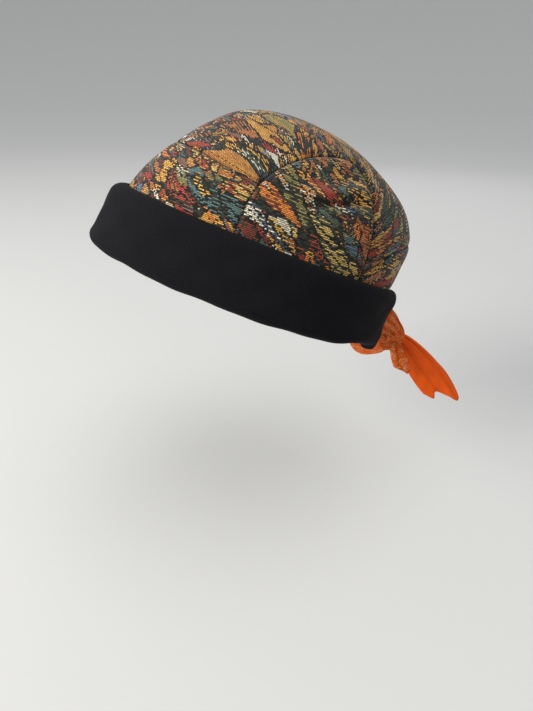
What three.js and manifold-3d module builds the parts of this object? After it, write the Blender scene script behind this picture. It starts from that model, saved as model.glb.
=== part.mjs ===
import * as THREE from 'three';
import { mergeVertices } from 'three/addons/utils/BufferGeometryUtils.js';
import Module from 'manifold-3d';

// Docker hat: a brimless domed cap of five tapestry panels, a turned-up cuff that is open at the
// back, and a kerchief that comes out of the cuff's ends and is knotted behind the crown.
// Millimetres and degrees. Inside the hat's own group +X is the wearer's left, -Y the front and
// +Z up along the crown. The group is tilted the way the hat is worn.

// Crown
const CROWN_HALF_LENGTH = 100;
const CROWN_HALF_WIDTH = 84.5;
const CROWN_RISE = 118;
const CROWN_CLOTH = 1.6;
const CROWN_FOOT = 8;

// Cuff
const CUFF_HEIGHT = 40.5;
const CUFF_CLOTH = 2.2;
const CUFF_STAND_FRONT = 12.5;
const CUFF_STAND_SIDE = 7.4;
const CUFF_STAND_BACK = 8.4;
const CUFF_OPENING = 58;
const CUFF_CORNER = 8;

// Kerchief
const TIE_WIDTH = 27;
const TIE_CLOTH = 1.5;
const TIE_PLEAT = 2.2;
const TIE_TUCK = 24;
const TIE_SLACK = 19;
const TIE_SAG = 24.5;
const KNOT_SIZE = 15;
const KNOT_STAND = 18.5;
const KNOT_ASIDE = 23;
const LONG_TAIL_LENGTH = 76;
const LONG_TAIL_WIDTH = 28;
const SHORT_TAIL_LENGTH = 34;
const SHORT_TAIL_WIDTH = 14;
const TAIL_FOLD = 3;
const TAIL_SPREAD = 6.4;

// Heights of the band's and the knot's middle as shares of the cuff's height
const BAND_PLACE = 0.42;
const KNOT_PLACE = 0.2;

// Tails: slope in degrees below the back direction at the knot and at the end, drift to the left
// for each step back, and place beside the knot's middle as a share of the spread
const LONG_TAIL_FALL = { root: 12, end: 38, drift: 0.06, aside: -0.15 };
const SHORT_TAIL_FALL = { root: 48, end: 42, drift: 0.12, aside: 0.85 };

// Wearing angles and clearances
const TILT_BACK = 24.2;
const LEAN_RIGHT = 9.8;
const SEAM_GAP = 0.3;
const FIT_GAP = 0.4;

// Crown sections from the lower edge to the top, as shares of the rise and of the half length or
// half width
const CROWN_SECTIONS = [
  { rise: 0.0, front: 1.0, back: 1.0, side: 1.0 },
  { rise: 0.2, front: 1.0, back: 1.045, side: 1.025 },
  { rise: 0.41, front: 0.92, back: 1.075, side: 1.015 },
  { rise: 0.595, front: 0.78, back: 1.05, side: 0.94 },
  { rise: 0.765, front: 0.61, back: 0.89, side: 0.78 },
  { rise: 0.895, front: 0.44, back: 0.63, side: 0.57 },
  { rise: 0.97, front: 0.23, back: 0.34, side: 0.31 },
  { rise: 1.0, front: 0.0, back: 0.0, side: 0.0 },
];

// Seam lines seen from the side: back is a share of the half length, rise a share of the rise
const SIDE_ARCH = [
  { back: -0.375, rise: -0.2 },
  { back: -0.37, rise: 0.1 },
  { back: -0.36, rise: 0.36 },
  { back: -0.32, rise: 0.53 },
  { back: -0.21, rise: 0.665 },
  { back: -0.05, rise: 0.77 },
  { back: 0.11, rise: 0.825 },
  { back: 0.24, rise: 0.84 },
  { back: 0.35, rise: 0.78 },
  { back: 0.44, rise: 0.63 },
  { back: 0.49, rise: 0.4 },
  { back: 0.505, rise: 0.15 },
  { back: 0.505, rise: -0.2 },
];
const FRONT_SEAM = [
  { back: -0.2, rise: 0.5 },
  { back: -0.35, rise: 0.535 },
  { back: -0.66, rise: 0.59 },
  { back: -1.2, rise: 0.66 },
];
const BACK_SEAM = [
  { back: 0.35, rise: 0.12 },
  { back: 0.51, rise: 0.31 },
  { back: 0.61, rise: 0.405 },
  { back: 0.72, rise: 0.49 },
  { back: 1.04, rise: 0.595 },
  { back: 1.3, rise: 0.64 },
];

// Cuff section from the lip up to the turned-in top: rise is a share of the cuff height, out runs
// from the crown's surface at 0 to the cuff's outside at 1 at the sides and back, front is the same
// at the front, and round is the share of the corner radius that the cuff's ends draw back by
const CUFF_SECTION = [
  { rise: -0.03, out: 0.2, front: 0.2, round: 1.0 },
  { rise: -0.02, out: 0.55, front: 0.5, round: 0.85 },
  { rise: 0.02, out: 0.88, front: 0.85, round: 0.5 },
  { rise: 0.09, out: 1.0, front: 1.0, round: 0.15 },
  { rise: 0.2, out: 0.98, front: 0.95, round: 0.0 },
  { rise: 0.4, out: 0.9, front: 0.8, round: 0.0 },
  { rise: 0.6, out: 0.88, front: 0.7, round: 0.0 },
  { rise: 0.76, out: 0.93, front: 0.66, round: 0.1 },
  { rise: 0.87, out: 0.93, front: 0.6, round: 0.3 },
  { rise: 0.95, out: 0.77, front: 0.46, round: 0.6 },
  { rise: 0.99, out: 0.45, front: 0.25, round: 0.85 },
  { rise: 1.0, out: 0.0, front: 0.0, round: 1.0 },
];

// Kerchief between the cuff's end and the knot: share of the way there, slack and sag as shares of
// how far it stands out and hangs down
const NEAR_BAND = [
  { share: 0.24, slack: 0.2, sag: 0.0 },
  { share: 0.5, slack: 0.24, sag: 0.0 },
];
const FAR_BAND = [
  { share: 0.18, slack: 0.85, sag: 0.9 },
  { share: 0.45, slack: 1.0, sag: 1.0 },
  { share: 0.72, slack: 0.6, sag: 0.52 },
];

// Tails from the knot to the end: along is a share of the length, near and far are the edges either
// side of the middle as shares of the width, and fold is the share of the fold depth that is left
const LONG_TAIL = [
  { along: 0.0, near: 0.17, far: 0.17, fold: 1.0 },
  { along: 0.12, near: 0.28, far: 0.24, fold: 0.9 },
  { along: 0.3, near: 0.56, far: 0.34, fold: 0.65 },
  { along: 0.5, near: 0.68, far: 0.4, fold: 0.45 },
  { along: 0.7, near: 0.64, far: 0.44, fold: 0.3 },
  { along: 1.0, near: 0.5, far: 0.34, fold: 0.2 },
];
const SHORT_TAIL = [
  { along: 0.0, near: 0.3, far: 0.3, fold: 1.0 },
  { along: 0.3, near: 0.42, far: 0.42, fold: 0.8 },
  { along: 0.7, near: 0.5, far: 0.5, fold: 0.6 },
  { along: 1.0, near: 0.34, far: 0.34, fold: 0.4 },
];

// Where each tail's end is cut, from its near edge at -1 to its far edge at 1, as shares of length
const LONG_END = [
  { across: -1.0, cut: 0.72 },
  { across: -0.75, cut: 0.83 },
  { across: -0.45, cut: 0.77 },
  { across: -0.1, cut: 0.87 },
  { across: 0.25, cut: 0.95 },
  { across: 0.6, cut: 1.0 },
  { across: 1.0, cut: 0.95 },
];
const SHORT_END = [
  { across: -1.0, cut: 0.82 },
  { across: -0.3, cut: 0.96 },
  { across: 0.3, cut: 1.0 },
  { across: 1.0, cut: 0.9 },
];

const MATERIALS = {
  tapestry: { color: 0x7a5a34, roughness: 0.92, metalness: 0 },
  cotton: { color: 0x17171a, roughness: 0.95, metalness: 0 },
  patterned: { color: 0xb8480c, roughness: 0.85, metalness: 0 },
  plain: { color: 0xd85a10, roughness: 0.8, metalness: 0 },
};

const wasm = await Module();
wasm.setup();

const turn = (degrees) => THREE.MathUtils.degToRad(degrees);
const mix = THREE.MathUtils.lerp;

// Value of a table column at a place between its rows, on a smooth curve through them
function column(rows, name, place) {
  const last = rows.length - 1;
  const start = Math.min(Math.floor(place), last - 1);
  const t = place - start;
  const b = rows[start][name];
  const c = rows[start + 1][name];
  const a = start > 0 ? rows[start - 1][name] : b;
  const d = start + 2 <= last ? rows[start + 2][name] : c;
  const slopeB = start > 0 ? (c - a) / 2 : c - b;
  const slopeC = start + 2 <= last ? (d - b) / 2 : c - b;
  const t2 = t * t;
  const t3 = t2 * t;
  return (2 * t3 - 3 * t2 + 1) * b + (t3 - 2 * t2 + t) * slopeB
    + (3 * t2 - 2 * t3) * c + (t3 - t2) * slopeC;
}

// Place in a table at which a rising column reaches a value
function placeAt(rows, name, value) {
  let low = 0;
  let high = rows.length - 1;
  for (let step = 0; step < 30; step += 1) {
    const middle = (low + high) / 2;
    if (column(rows, name, middle) < value) {
      low = middle;
    } else {
      high = middle;
    }
  }
  return (low + high) / 2;
}

// Point on the crown's outside: bearing 0 is the front and 90 the wearer's left
function crownPoint(bearing, place) {
  const rad = turn(bearing);
  const front = column(CROWN_SECTIONS, 'front', place);
  const back = column(CROWN_SECTIONS, 'back', place);
  const middle = (back - front) / 2;
  const reach = (front + back) / 2;
  return new THREE.Vector3(
    CROWN_HALF_WIDTH * column(CROWN_SECTIONS, 'side', place) * Math.sin(rad),
    CROWN_HALF_LENGTH * (middle - reach * Math.cos(rad)),
    CROWN_FOOT + CROWN_RISE * column(CROWN_SECTIONS, 'rise', place),
  );
}

// Horizontal point on the crown's outside at a height over the rim plane
function crownAtHeight(bearing, height) {
  const share = Math.max((height - CROWN_FOOT) / CROWN_RISE, 0);
  const point = crownPoint(bearing, placeAt(CROWN_SECTIONS, 'rise', share));
  return new THREE.Vector2(point.x, point.y);
}

// Six times the volume that closed triangles hold, which is negative where they face inwards
function heldVolume(points, triangles) {
  let sum = 0;
  for (let i = 0; i < triangles.length; i += 3) {
    const [a, b, c] = triangles.slice(i, i + 3).map((index) => points[index]);
    sum += a.dot(b.clone().cross(c));
  }
  return sum;
}

function geometryFrom(points, triangles) {
  if (heldVolume(points, triangles) < 0) {
    triangles.reverse();
  }
  const geometry = new THREE.BufferGeometry();
  const values = new Float32Array(points.flatMap((point) => [point.x, point.y, point.z]));
  geometry.setAttribute('position', new THREE.BufferAttribute(values, 3));
  geometry.setIndex(triangles);
  return geometry;
}

// A wall between two sheets of points with the same rows and columns
function clothWall(outside, inside) {
  const rows = outside.length;
  const columns = outside[0].length;
  const points = [...outside.flat(), ...inside.flat()];
  const behind = rows * columns;
  const triangles = [];
  const quad = (a, b, c, d) => triangles.push(a, b, c, a, c, d);
  for (let i = 0; i < rows - 1; i += 1) {
    for (let j = 0; j < columns - 1; j += 1) {
      const a = i * columns + j;
      quad(a, a + 1, a + columns + 1, a + columns);
      quad(behind + a, behind + a + columns, behind + a + columns + 1, behind + a + 1);
    }
  }
  for (let i = 0; i < rows - 1; i += 1) {
    const a = i * columns;
    const b = a + columns - 1;
    quad(a, a + columns, behind + a + columns, behind + a);
    quad(b, behind + b, behind + b + columns, b + columns);
  }
  for (let j = 0; j < columns - 1; j += 1) {
    const a = (rows - 1) * columns + j;
    quad(j, behind + j, behind + j + 1, j + 1);
    quad(a, a + 1, behind + a + 1, behind + a);
  }
  return geometryFrom(points, triangles);
}

// Closed tube through rings of points, with a fan over each end
function ringLoft(rings) {
  const size = rings[0].length;
  const middles = [rings[0], rings[rings.length - 1]].map((ring) => ring
    .reduce((sum, point) => sum.add(point), new THREE.Vector3())
    .divideScalar(size));
  const points = [...rings.flat(), ...middles];
  const start = rings.length * size;
  const top = start - size;
  const triangles = [];
  for (let i = 0; i < rings.length - 1; i += 1) {
    for (let j = 0; j < size; j += 1) {
      const a = i * size + j;
      const b = i * size + ((j + 1) % size);
      triangles.push(a, b, b + size, a, b + size, a + size);
    }
  }
  for (let j = 0; j < size; j += 1) {
    const next = (j + 1) % size;
    triangles.push(start, next, j, start + 1, top + j, top + next);
  }
  return geometryFrom(points, triangles);
}

function solidFrom(geometry) {
  const plain = geometry.clone();
  plain.deleteAttribute('normal');
  plain.deleteAttribute('uv');
  const merged = mergeVertices(plain);
  return new wasm.Manifold(new wasm.Mesh({
    numProp: 3,
    vertProperties: new Float32Array(merged.attributes.position.array),
    triVerts: new Uint32Array(merged.index.array),
  }));
}

function geometryOf(solid) {
  const mesh = solid.getMesh();
  const geometry = new THREE.BufferGeometry();
  geometry.setAttribute('position', new THREE.BufferAttribute(mesh.vertProperties, 3));
  geometry.setIndex(new THREE.BufferAttribute(mesh.triVerts, 1));
  return geometry;
}

// Crown: one shell, cut into panels along seam lines drawn from the side

const CROWN_BEARINGS = 44;
const STEPS_PER_SECTION = 2;

// The inside is the outside drawn in towards the middle of the rim by the cloth's thickness
function drawnIn(point) {
  const foot = new THREE.Vector3(0, 0, CROWN_FOOT);
  const share = new THREE.Vector3(
    1 - CROWN_CLOTH / CROWN_HALF_WIDTH,
    1 - CROWN_CLOTH / CROWN_HALF_LENGTH,
    1 - CROWN_CLOTH / CROWN_RISE,
  );
  return point.clone().sub(foot).multiply(share).add(foot);
}

function crownRings() {
  const rings = [];
  const levels = (CROWN_SECTIONS.length - 1) * STEPS_PER_SECTION;
  for (let level = 0; level < levels; level += 1) {
    const ring = [];
    for (let j = 0; j < CROWN_BEARINGS; j += 1) {
      ring.push(crownPoint((j * 360) / CROWN_BEARINGS, level / STEPS_PER_SECTION));
    }
    rings.push(ring);
  }
  return rings;
}

function crownShell() {
  const outside = crownRings();
  const inside = outside.map((ring) => ring.map(drawnIn));
  const top = crownPoint(0, CROWN_SECTIONS.length - 1);
  const rings = [...inside].reverse().concat(outside);
  const points = [...rings.flat(), drawnIn(top), top];
  const count = CROWN_BEARINGS;
  const under = rings.length * count;
  const over = under + 1;
  const triangles = [];
  for (let i = 0; i < rings.length - 1; i += 1) {
    for (let j = 0; j < count; j += 1) {
      const a = i * count + j;
      const b = i * count + ((j + 1) % count);
      triangles.push(a, b, b + count, a, b + count, a + count);
    }
  }
  for (let j = 0; j < count; j += 1) {
    const next = (j + 1) % count;
    const last = under - count;
    triangles.push(under, next, j, over, last + j, last + next);
  }
  return solidFrom(geometryFrom(points, triangles));
}

// Smooth line through seam rows in the side view, moved out to its left by an offset
function seamLine(rows, offset, steps) {
  const points = rows.map((row) => new THREE.Vector2(
    CROWN_HALF_LENGTH * row.back,
    CROWN_FOOT + CROWN_RISE * row.rise,
  ));
  const curve = new THREE.SplineCurve(points);
  const line = [];
  for (let i = 0; i <= steps; i += 1) {
    const along = curve.getTangent(i / steps);
    const away = new THREE.Vector2(-along.y, along.x).multiplyScalar(offset);
    line.push(curve.getPoint(i / steps).add(away));
  }
  return line;
}

// Prism across the hat with an outline drawn in the side view
function acrossPrism(outline) {
  const width = CROWN_HALF_WIDTH * 3;
  const geometry = new THREE.ExtrudeGeometry(new THREE.Shape(outline), {
    depth: width,
    bevelEnabled: false,
  });
  const across = new THREE.Matrix4().set(
    0, 0, 1, -width / 2,
    1, 0, 0, 0,
    0, 1, 0, 0,
    0, 0, 0, 1,
  );
  return solidFrom(geometry.applyMatrix4(across));
}

function archPrism(offset) {
  return acrossPrism(seamLine(SIDE_ARCH, offset, 36));
}

// Everything below a seam line that runs from the arch to the front or to the back
function belowPrism(rows, offset) {
  const line = seamLine(rows, offset, 12);
  const floor = CROWN_FOOT - CROWN_RISE;
  const first = line[0];
  const last = line[line.length - 1];
  const outline = [...line, new THREE.Vector2(last.x, floor), new THREE.Vector2(first.x, floor)];
  return acrossPrism(outline);
}

function halfBox(side) {
  const length = CROWN_HALF_LENGTH * 4;
  const geometry = new THREE.BoxGeometry(length, length, length);
  geometry.translate((side * length) / 2, 0, 0);
  return solidFrom(geometry);
}

function crownPanels() {
  const shell = crownShell();
  const half = SEAM_GAP / 2;
  const sides = shell.intersect(archPrism(-half));
  const middle = shell.subtract(archPrism(half));
  const front = middle.intersect(belowPrism(FRONT_SEAM, half));
  const back = middle.intersect(belowPrism(BACK_SEAM, -half));
  const top = middle.subtract(belowPrism(FRONT_SEAM, -half)).subtract(belowPrism(BACK_SEAM, half));
  return {
    crown_front: front,
    crown_side_left: sides.intersect(halfBox(1)),
    crown_side_right: sides.intersect(halfBox(-1)),
    crown_top: top,
    crown_back: back,
  };
}

// Cuff

const CUFF_STEPS = 52;

// How far the cuff's outside stands off the crown's fullest reach at a bearing
function cuffStand(bearing) {
  const along = Math.cos(turn(bearing));
  const end = along > 0 ? CUFF_STAND_FRONT : CUFF_STAND_BACK;
  return mix(CUFF_STAND_SIDE, end, along * along);
}

// Frame of the cuff at a bearing: the crown's lower edge, the way out from it, and how far out
// the crown reaches at any height
function cuffFrame(bearing) {
  const base = crownAtHeight(bearing, CROWN_FOOT);
  const before = crownAtHeight(bearing - 1, CROWN_FOOT);
  const after = crownAtHeight(bearing + 1, CROWN_FOOT);
  const along = after.sub(before).normalize();
  const out = new THREE.Vector2(-along.y, along.x);
  if (out.dot(base) < 0) {
    out.negate();
  }
  const crownOut = (height) => crownAtHeight(bearing, height).sub(base).dot(out);
  const point = (distance, height) => new THREE.Vector3(
    base.x + out.x * distance,
    base.y + out.y * distance,
    height,
  );
  return { crownOut, point };
}

// Bearing at which a distance along the rim from the middle of the back ends
function bearingFromBack(distance) {
  const reach = CROWN_HALF_LENGTH + CUFF_STAND_BACK;
  const width = CROWN_HALF_WIDTH + CUFF_STAND_SIDE;
  let bearing = 180;
  let walked = 0;
  const step = 0.25;
  while (walked < distance && bearing > 90) {
    const rad = turn(bearing);
    walked += Math.hypot(width * Math.cos(rad), reach * Math.sin(rad)) * turn(step);
    bearing -= step;
  }
  return bearing;
}

// Share of the way out for a row or place of the cuff's section, at a bearing
function cuffShare(bearing, side, front) {
  const along = Math.max(Math.cos(turn(bearing)), 0);
  return mix(side, front, along * along);
}

// Where the middle of the cuff's cloth runs at a bearing and height, as a distance out
function cuffOut(bearing, frame, height, share) {
  const full = Math.max(frame.crownOut(CUFF_HEIGHT), frame.crownOut(CUFF_HEIGHT / 2), 0);
  const outer = full + cuffStand(bearing) - CUFF_CLOTH / 2;
  const inner = frame.crownOut(height) + FIT_GAP;
  return mix(inner, outer, share);
}

// Middle line of the cuff's cloth at a bearing, as distances out and heights, from the seam under
// the crown's edge to the turned-in top
function cuffLine(bearing) {
  const frame = cuffFrame(bearing);
  const under = -CROWN_CLOTH / 2;
  const line = [
    new THREE.Vector2(under, CROWN_FOOT - SEAM_GAP),
    new THREE.Vector2(under, CROWN_FOOT / 2),
  ];
  for (const row of CUFF_SECTION) {
    const height = row.rise * CUFF_HEIGHT;
    const share = cuffShare(bearing, row.out, row.front);
    line.push(new THREE.Vector2(cuffOut(bearing, frame, height, share), height));
  }
  return { line, frame };
}

// Both faces of the cuff's cloth at one place of its section
function cuffFaces(bearing, index) {
  const { line, frame } = cuffLine(bearing);
  const before = line[Math.max(index - 1, 0)];
  const after = line[Math.min(index + 1, line.length - 1)];
  const along = after.clone().sub(before).normalize();
  const away = new THREE.Vector2(along.y, -along.x).multiplyScalar(CUFF_CLOTH / 2);
  const outside = line[index].clone().add(away);
  const inside = line[index].clone().sub(away);
  return [frame.point(outside.x, outside.y), frame.point(inside.x, inside.y)];
}

function cuff() {
  const rounds = [1, 1, ...CUFF_SECTION.map((row) => row.round)];
  const ends = rounds.map((round) => bearingFromBack(CUFF_OPENING / 2 + round * CUFF_CORNER));
  const outside = [];
  const inside = [];
  for (let i = 0; i <= CUFF_STEPS; i += 1) {
    const faces = ends.map((end, index) => cuffFaces(mix(-end, end, i / CUFF_STEPS), index));
    outside.push(faces.map((pair) => pair[0]));
    inside.push(faces.map((pair) => pair[1]));
  }
  return clothWall(outside, inside);
}

// Kerchief

const BAND_COLUMNS = 12;
const TUCK_STEPS = 4;
const FREE_STEPS = 12;
const PLEATS = 3;

const bandHeight = CUFF_HEIGHT * BAND_PLACE;
const knotHeight = CUFF_HEIGHT * KNOT_PLACE;
const knotReach = KNOT_SIZE / 2;
const knotNarrow = KNOT_SIZE * 0.8;

function knotMiddle() {
  const back = crownAtHeight(180, knotHeight).y + CUFF_STAND_BACK;
  return new THREE.Vector3(KNOT_ASIDE, back + KNOT_STAND, knotHeight);
}

// Room between the crown and the cuff at a bearing and height
function cuffHollow(bearing, frame, height) {
  const place = placeAt(CUFF_SECTION, 'rise', height / CUFF_HEIGHT);
  const side = column(CUFF_SECTION, 'out', place);
  const share = cuffShare(bearing, side, column(CUFF_SECTION, 'front', place));
  const low = frame.crownOut(height) + FIT_GAP;
  const high = cuffOut(bearing, frame, height, share) - CUFF_CLOTH / 2 - FIT_GAP;
  return { middle: (low + high) / 2, room: high - low };
}

const across = (j) => mix(-1, 1, j / BAND_COLUMNS);
const pleatDepth = (v) => TIE_PLEAT * Math.abs(Math.sin((PLEATS * Math.PI * (v + 1)) / 2));

// A station of the band inside the cuff: the two faces from the lower edge to the upper edge
function tuckedStation(bearing) {
  const frame = cuffFrame(bearing);
  const faces = [[], []];
  for (let j = 0; j <= BAND_COLUMNS; j += 1) {
    const height = bandHeight + (across(j) * TIE_WIDTH) / 2;
    const { middle, room } = cuffHollow(bearing, frame, height);
    const half = Math.min(room, TIE_CLOTH + pleatDepth(across(j))) / 2;
    faces[0].push(frame.point(middle + half, height));
    faces[1].push(frame.point(middle - half, height));
  }
  return faces;
}

// A tie band on one side: side is 1 for the wearer's left
function tieBand(side, rows) {
  const stations = [];
  const end = bearingFromBack(CUFF_OPENING / 2);
  const start = bearingFromBack(CUFF_OPENING / 2 + TIE_TUCK);
  for (let i = 0; i <= TUCK_STEPS; i += 1) {
    stations.push(tuckedStation(side * mix(start, end, i / TUCK_STEPS)));
  }
  const middleOf = (faces) => faces[0][BAND_COLUMNS / 2].clone()
    .add(faces[1][BAND_COLUMNS / 2])
    .multiplyScalar(0.5);
  const last = stations[stations.length - 1];
  const from = middleOf(last);
  const knot = knotMiddle();
  const way = knot.clone().sub(from);
  const outward = new THREE.Vector3(0, 1, 0);
  const points = [middleOf(stations[stations.length - 2]), from];
  for (const row of rows) {
    const point = from.clone().addScaledVector(way, row.share);
    point.addScaledVector(outward, row.slack * TIE_SLACK);
    point.z -= row.sag * TIE_SAG;
    points.push(point);
  }
  const beside = points[points.length - 1].clone().sub(knot).normalize();
  points.push(knot.clone().addScaledVector(beside, knotReach + FIT_GAP));
  const curve = new THREE.CatmullRomCurve3(points);
  const skip = 1 / (points.length - 1);
  const up = new THREE.Vector3(0, 0, 1);
  for (let i = 1; i <= FREE_STEPS; i += 1) {
    const t = i / FREE_STEPS;
    const place = mix(skip, 1, t);
    const middle = curve.getPoint(place);
    const along = curve.getTangent(place);
    const out = along.clone().cross(up).multiplyScalar(side).normalize();
    const rise = out.clone().cross(along).multiplyScalar(side).normalize();
    const width = mix(TIE_WIDTH, knotNarrow, t * t);
    const faces = [[], []];
    for (let j = 0; j <= BAND_COLUMNS; j += 1) {
      const v = across(j);
      const bulk = mix(TIE_CLOTH, knotNarrow * 0.5 * Math.sqrt(1 - 0.8 * v * v), t * t);
      const half = (bulk + pleatDepth(v)) / 2;
      const point = middle.clone().addScaledVector(rise, (v * width) / 2);
      const carried = last[0][j].clone().add(last[1][j]).multiplyScalar(0.5).sub(from);
      point.addScaledVector(out, carried.dot(out) * (1 - t) ** 2);
      faces[0].push(point.clone().addScaledVector(out, half));
      faces[1].push(point.clone().addScaledVector(out, -half));
    }
    stations.push(faces);
  }
  return clothWall(stations.map((faces) => faces[0]), stations.map((faces) => faces[1]));
}

const KNOT_LEVELS = 9;
const KNOT_SIDES = 14;
const KNOT_POLE = 78;

function tieKnot() {
  const middle = knotMiddle();
  const rings = [];
  for (let i = 0; i < KNOT_LEVELS; i += 1) {
    const slope = turn(mix(-KNOT_POLE, KNOT_POLE, i / (KNOT_LEVELS - 1)));
    const ring = [];
    for (let j = 0; j < KNOT_SIDES; j += 1) {
      const round = (j * 2 * Math.PI) / KNOT_SIDES;
      ring.push(middle.clone().add(new THREE.Vector3(
        knotReach * Math.cos(slope) * Math.cos(round),
        knotReach * Math.cos(slope) * Math.sin(round),
        knotReach * Math.sin(slope),
      )));
    }
    rings.push(ring);
  }
  return ringLoft(rings);
}

const TAIL_ROWS = 12;
const TAIL_COLUMNS = 10;

// A tail that leaves the knot at a slope below the back direction and bends down to another
function tieTail(form) {
  const start = knotMiddle();
  start.x += TAIL_SPREAD * form.fall.aside;
  const heading = (t) => {
    const slope = turn(mix(form.fall.root, form.fall.end, t));
    return new THREE.Vector3(form.fall.drift, Math.cos(slope), -Math.sin(slope)).normalize();
  };
  start.addScaledVector(heading(0), knotReach + FIT_GAP);
  const faces = [[], []];
  for (let i = 0; i <= TAIL_ROWS; i += 1) {
    faces[0].push([]);
    faces[1].push([]);
  }
  for (let j = 0; j <= TAIL_COLUMNS; j += 1) {
    const v = mix(-1, 1, j / TAIL_COLUMNS);
    const cut = column(form.end, 'cut', placeAt(form.end, 'across', v));
    const point = start.clone();
    for (let i = 0; i <= TAIL_ROWS; i += 1) {
      const share = (cut * i) / TAIL_ROWS;
      const way = heading(share);
      if (i > 0) {
        point.addScaledVector(way, (form.length * cut) / TAIL_ROWS);
      }
      const place = placeAt(form.rows, 'along', share);
      const edge = column(form.rows, v < 0 ? 'near' : 'far', place);
      const fold = TAIL_FOLD * column(form.rows, 'fold', place);
      const side = new THREE.Vector3(0, -way.z, way.y).normalize().negate();
      const out = side.clone().cross(way).normalize();
      const half = (TIE_CLOTH / 2) * (1 + 1.4 * (1 - share) ** 4);
      const spot = point.clone().addScaledVector(side, -v * edge * form.width);
      spot.addScaledVector(out, (fold * (Math.cos(Math.PI * v) - 1)) / 2);
      faces[0][i].push(spot.clone().addScaledVector(out, half));
      faces[1][i].push(spot.clone().addScaledVector(out, -half));
    }
  }
  return clothWall(faces[0], faces[1]);
}

const longTail = () => tieTail({
  rows: LONG_TAIL,
  end: LONG_END,
  length: LONG_TAIL_LENGTH,
  width: LONG_TAIL_WIDTH,
  fall: LONG_TAIL_FALL,
});

const shortTail = () => tieTail({
  rows: SHORT_TAIL,
  end: SHORT_END,
  length: SHORT_TAIL_LENGTH,
  width: SHORT_TAIL_WIDTH,
  fall: SHORT_TAIL_FALL,
});

// The hat as it is worn

const hat = new THREE.Group();
hat.rotation.set(-turn(TILT_BACK), -turn(LEAN_RIGHT), 0);

function addPiece(name, geometry, finish) {
  const plain = geometry.index ? geometry.toNonIndexed() : geometry;
  plain.computeVertexNormals();
  const mesh = new THREE.Mesh(plain, new THREE.MeshStandardMaterial(MATERIALS[finish]));
  mesh.name = name;
  hat.add(mesh);
}

for (const [name, solid] of Object.entries(crownPanels())) {
  addPiece(name, geometryOf(solid), 'tapestry');
}
addPiece('cuff', cuff(), 'cotton');
addPiece('tie_band_left', tieBand(1, NEAR_BAND), 'patterned');
addPiece('tie_band_right', tieBand(-1, FAR_BAND), 'patterned');
addPiece('tie_knot', tieKnot(), 'patterned');
addPiece('tie_tail_short', shortTail(), 'patterned');
addPiece('tie_tail_long', longTail(), 'plain');

const part = new THREE.Group();
part.add(hat);

export default part;
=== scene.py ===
import logging
import math
from collections.abc import Callable
from dataclasses import dataclass, field
from enum import Enum

import bmesh
import bpy
import numpy as np
from mathutils import Matrix, Vector
from mathutils.kdtree import KDTree


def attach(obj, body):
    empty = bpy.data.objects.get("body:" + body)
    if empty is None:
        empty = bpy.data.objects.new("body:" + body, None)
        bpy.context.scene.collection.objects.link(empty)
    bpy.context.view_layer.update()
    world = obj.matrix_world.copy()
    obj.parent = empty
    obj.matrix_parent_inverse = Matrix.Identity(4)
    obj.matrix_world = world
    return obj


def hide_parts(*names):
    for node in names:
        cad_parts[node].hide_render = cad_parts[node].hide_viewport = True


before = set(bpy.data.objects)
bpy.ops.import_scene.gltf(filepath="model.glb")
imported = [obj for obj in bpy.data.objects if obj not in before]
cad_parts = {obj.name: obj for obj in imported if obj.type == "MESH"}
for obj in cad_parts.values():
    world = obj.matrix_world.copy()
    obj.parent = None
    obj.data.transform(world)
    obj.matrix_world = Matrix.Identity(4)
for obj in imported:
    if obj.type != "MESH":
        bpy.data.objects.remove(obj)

LOG = logging.getLogger("docker_hat")
MM = 0.001
BODY = "root"
CLOTH_MAP = "cloth"
SEAM_ATTRIBUTE = "seam"
TURN = 6.283

Number = "float | Value"
Colour = tuple[float, float, float]
Shape = Callable[[np.ndarray, np.ndarray], tuple[np.ndarray, np.ndarray]]


class Slot(Enum):
    """Names of the material slots."""

    TAPESTRY = "tapestry"
    COTTON = "black_cotton"
    PATTERNED = "orange_patterned"
    PLAIN = "orange_plain"


class Hold(Enum):
    """Ways in which a sheet of cloth keeps its place."""

    STRETCHED = "stretched"
    FOLDED = "folded"
    GATHERED = "gathered"


# Curves and tables


def hermite(rows: np.ndarray, places: np.ndarray) -> np.ndarray:
    """Read a table between its rows, on smooth curves through them.

    Args:
        rows: Table with one row for each whole place.
        places: Places to read, from 0 to the last row.

    Returns:
        One row of values for each place.
    """
    last = len(rows) - 1
    start = np.clip(np.floor(places).astype(int), 0, last - 1)
    t = (places - start)[..., None]
    b, c = rows[start], rows[start + 1]
    a, d = rows[np.maximum(start - 1, 0)], rows[np.minimum(start + 2, last)]
    first, final = (start == 0)[..., None], (start == last - 1)[..., None]
    slope_b = np.where(first, c - b, (c - a) / 2)
    slope_c = np.where(final, c - b, (d - b) / 2)
    return (
        (2 * t**3 - 3 * t**2 + 1) * b
        + (t**3 - 2 * t**2 + t) * slope_b
        + (3 * t**2 - 2 * t**3) * c
        + (t**3 - t**2) * slope_c
    )


def closely(rows: tuple | np.ndarray, count: int) -> np.ndarray:
    """A table read at a count of even places from its first row to its last."""
    return hermite(np.array(rows), np.linspace(0, len(rows) - 1, count))


def mix(a: np.ndarray, b: np.ndarray, share: np.ndarray) -> np.ndarray:
    """Blend two values by a share from 0 to 1."""
    return a + (b - a) * share


def smooth(low: float, high: float, value: np.ndarray) -> np.ndarray:
    """Smooth step from 0 at low to 1 at high."""
    t = np.clip((value - low) / (high - low), 0, 1)
    return t * t * (3 - 2 * t)


def unit(vectors: np.ndarray) -> np.ndarray:
    """Vectors made one long."""
    return vectors / np.maximum(np.linalg.norm(vectors, axis=-1, keepdims=True), 1e-9)


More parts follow.
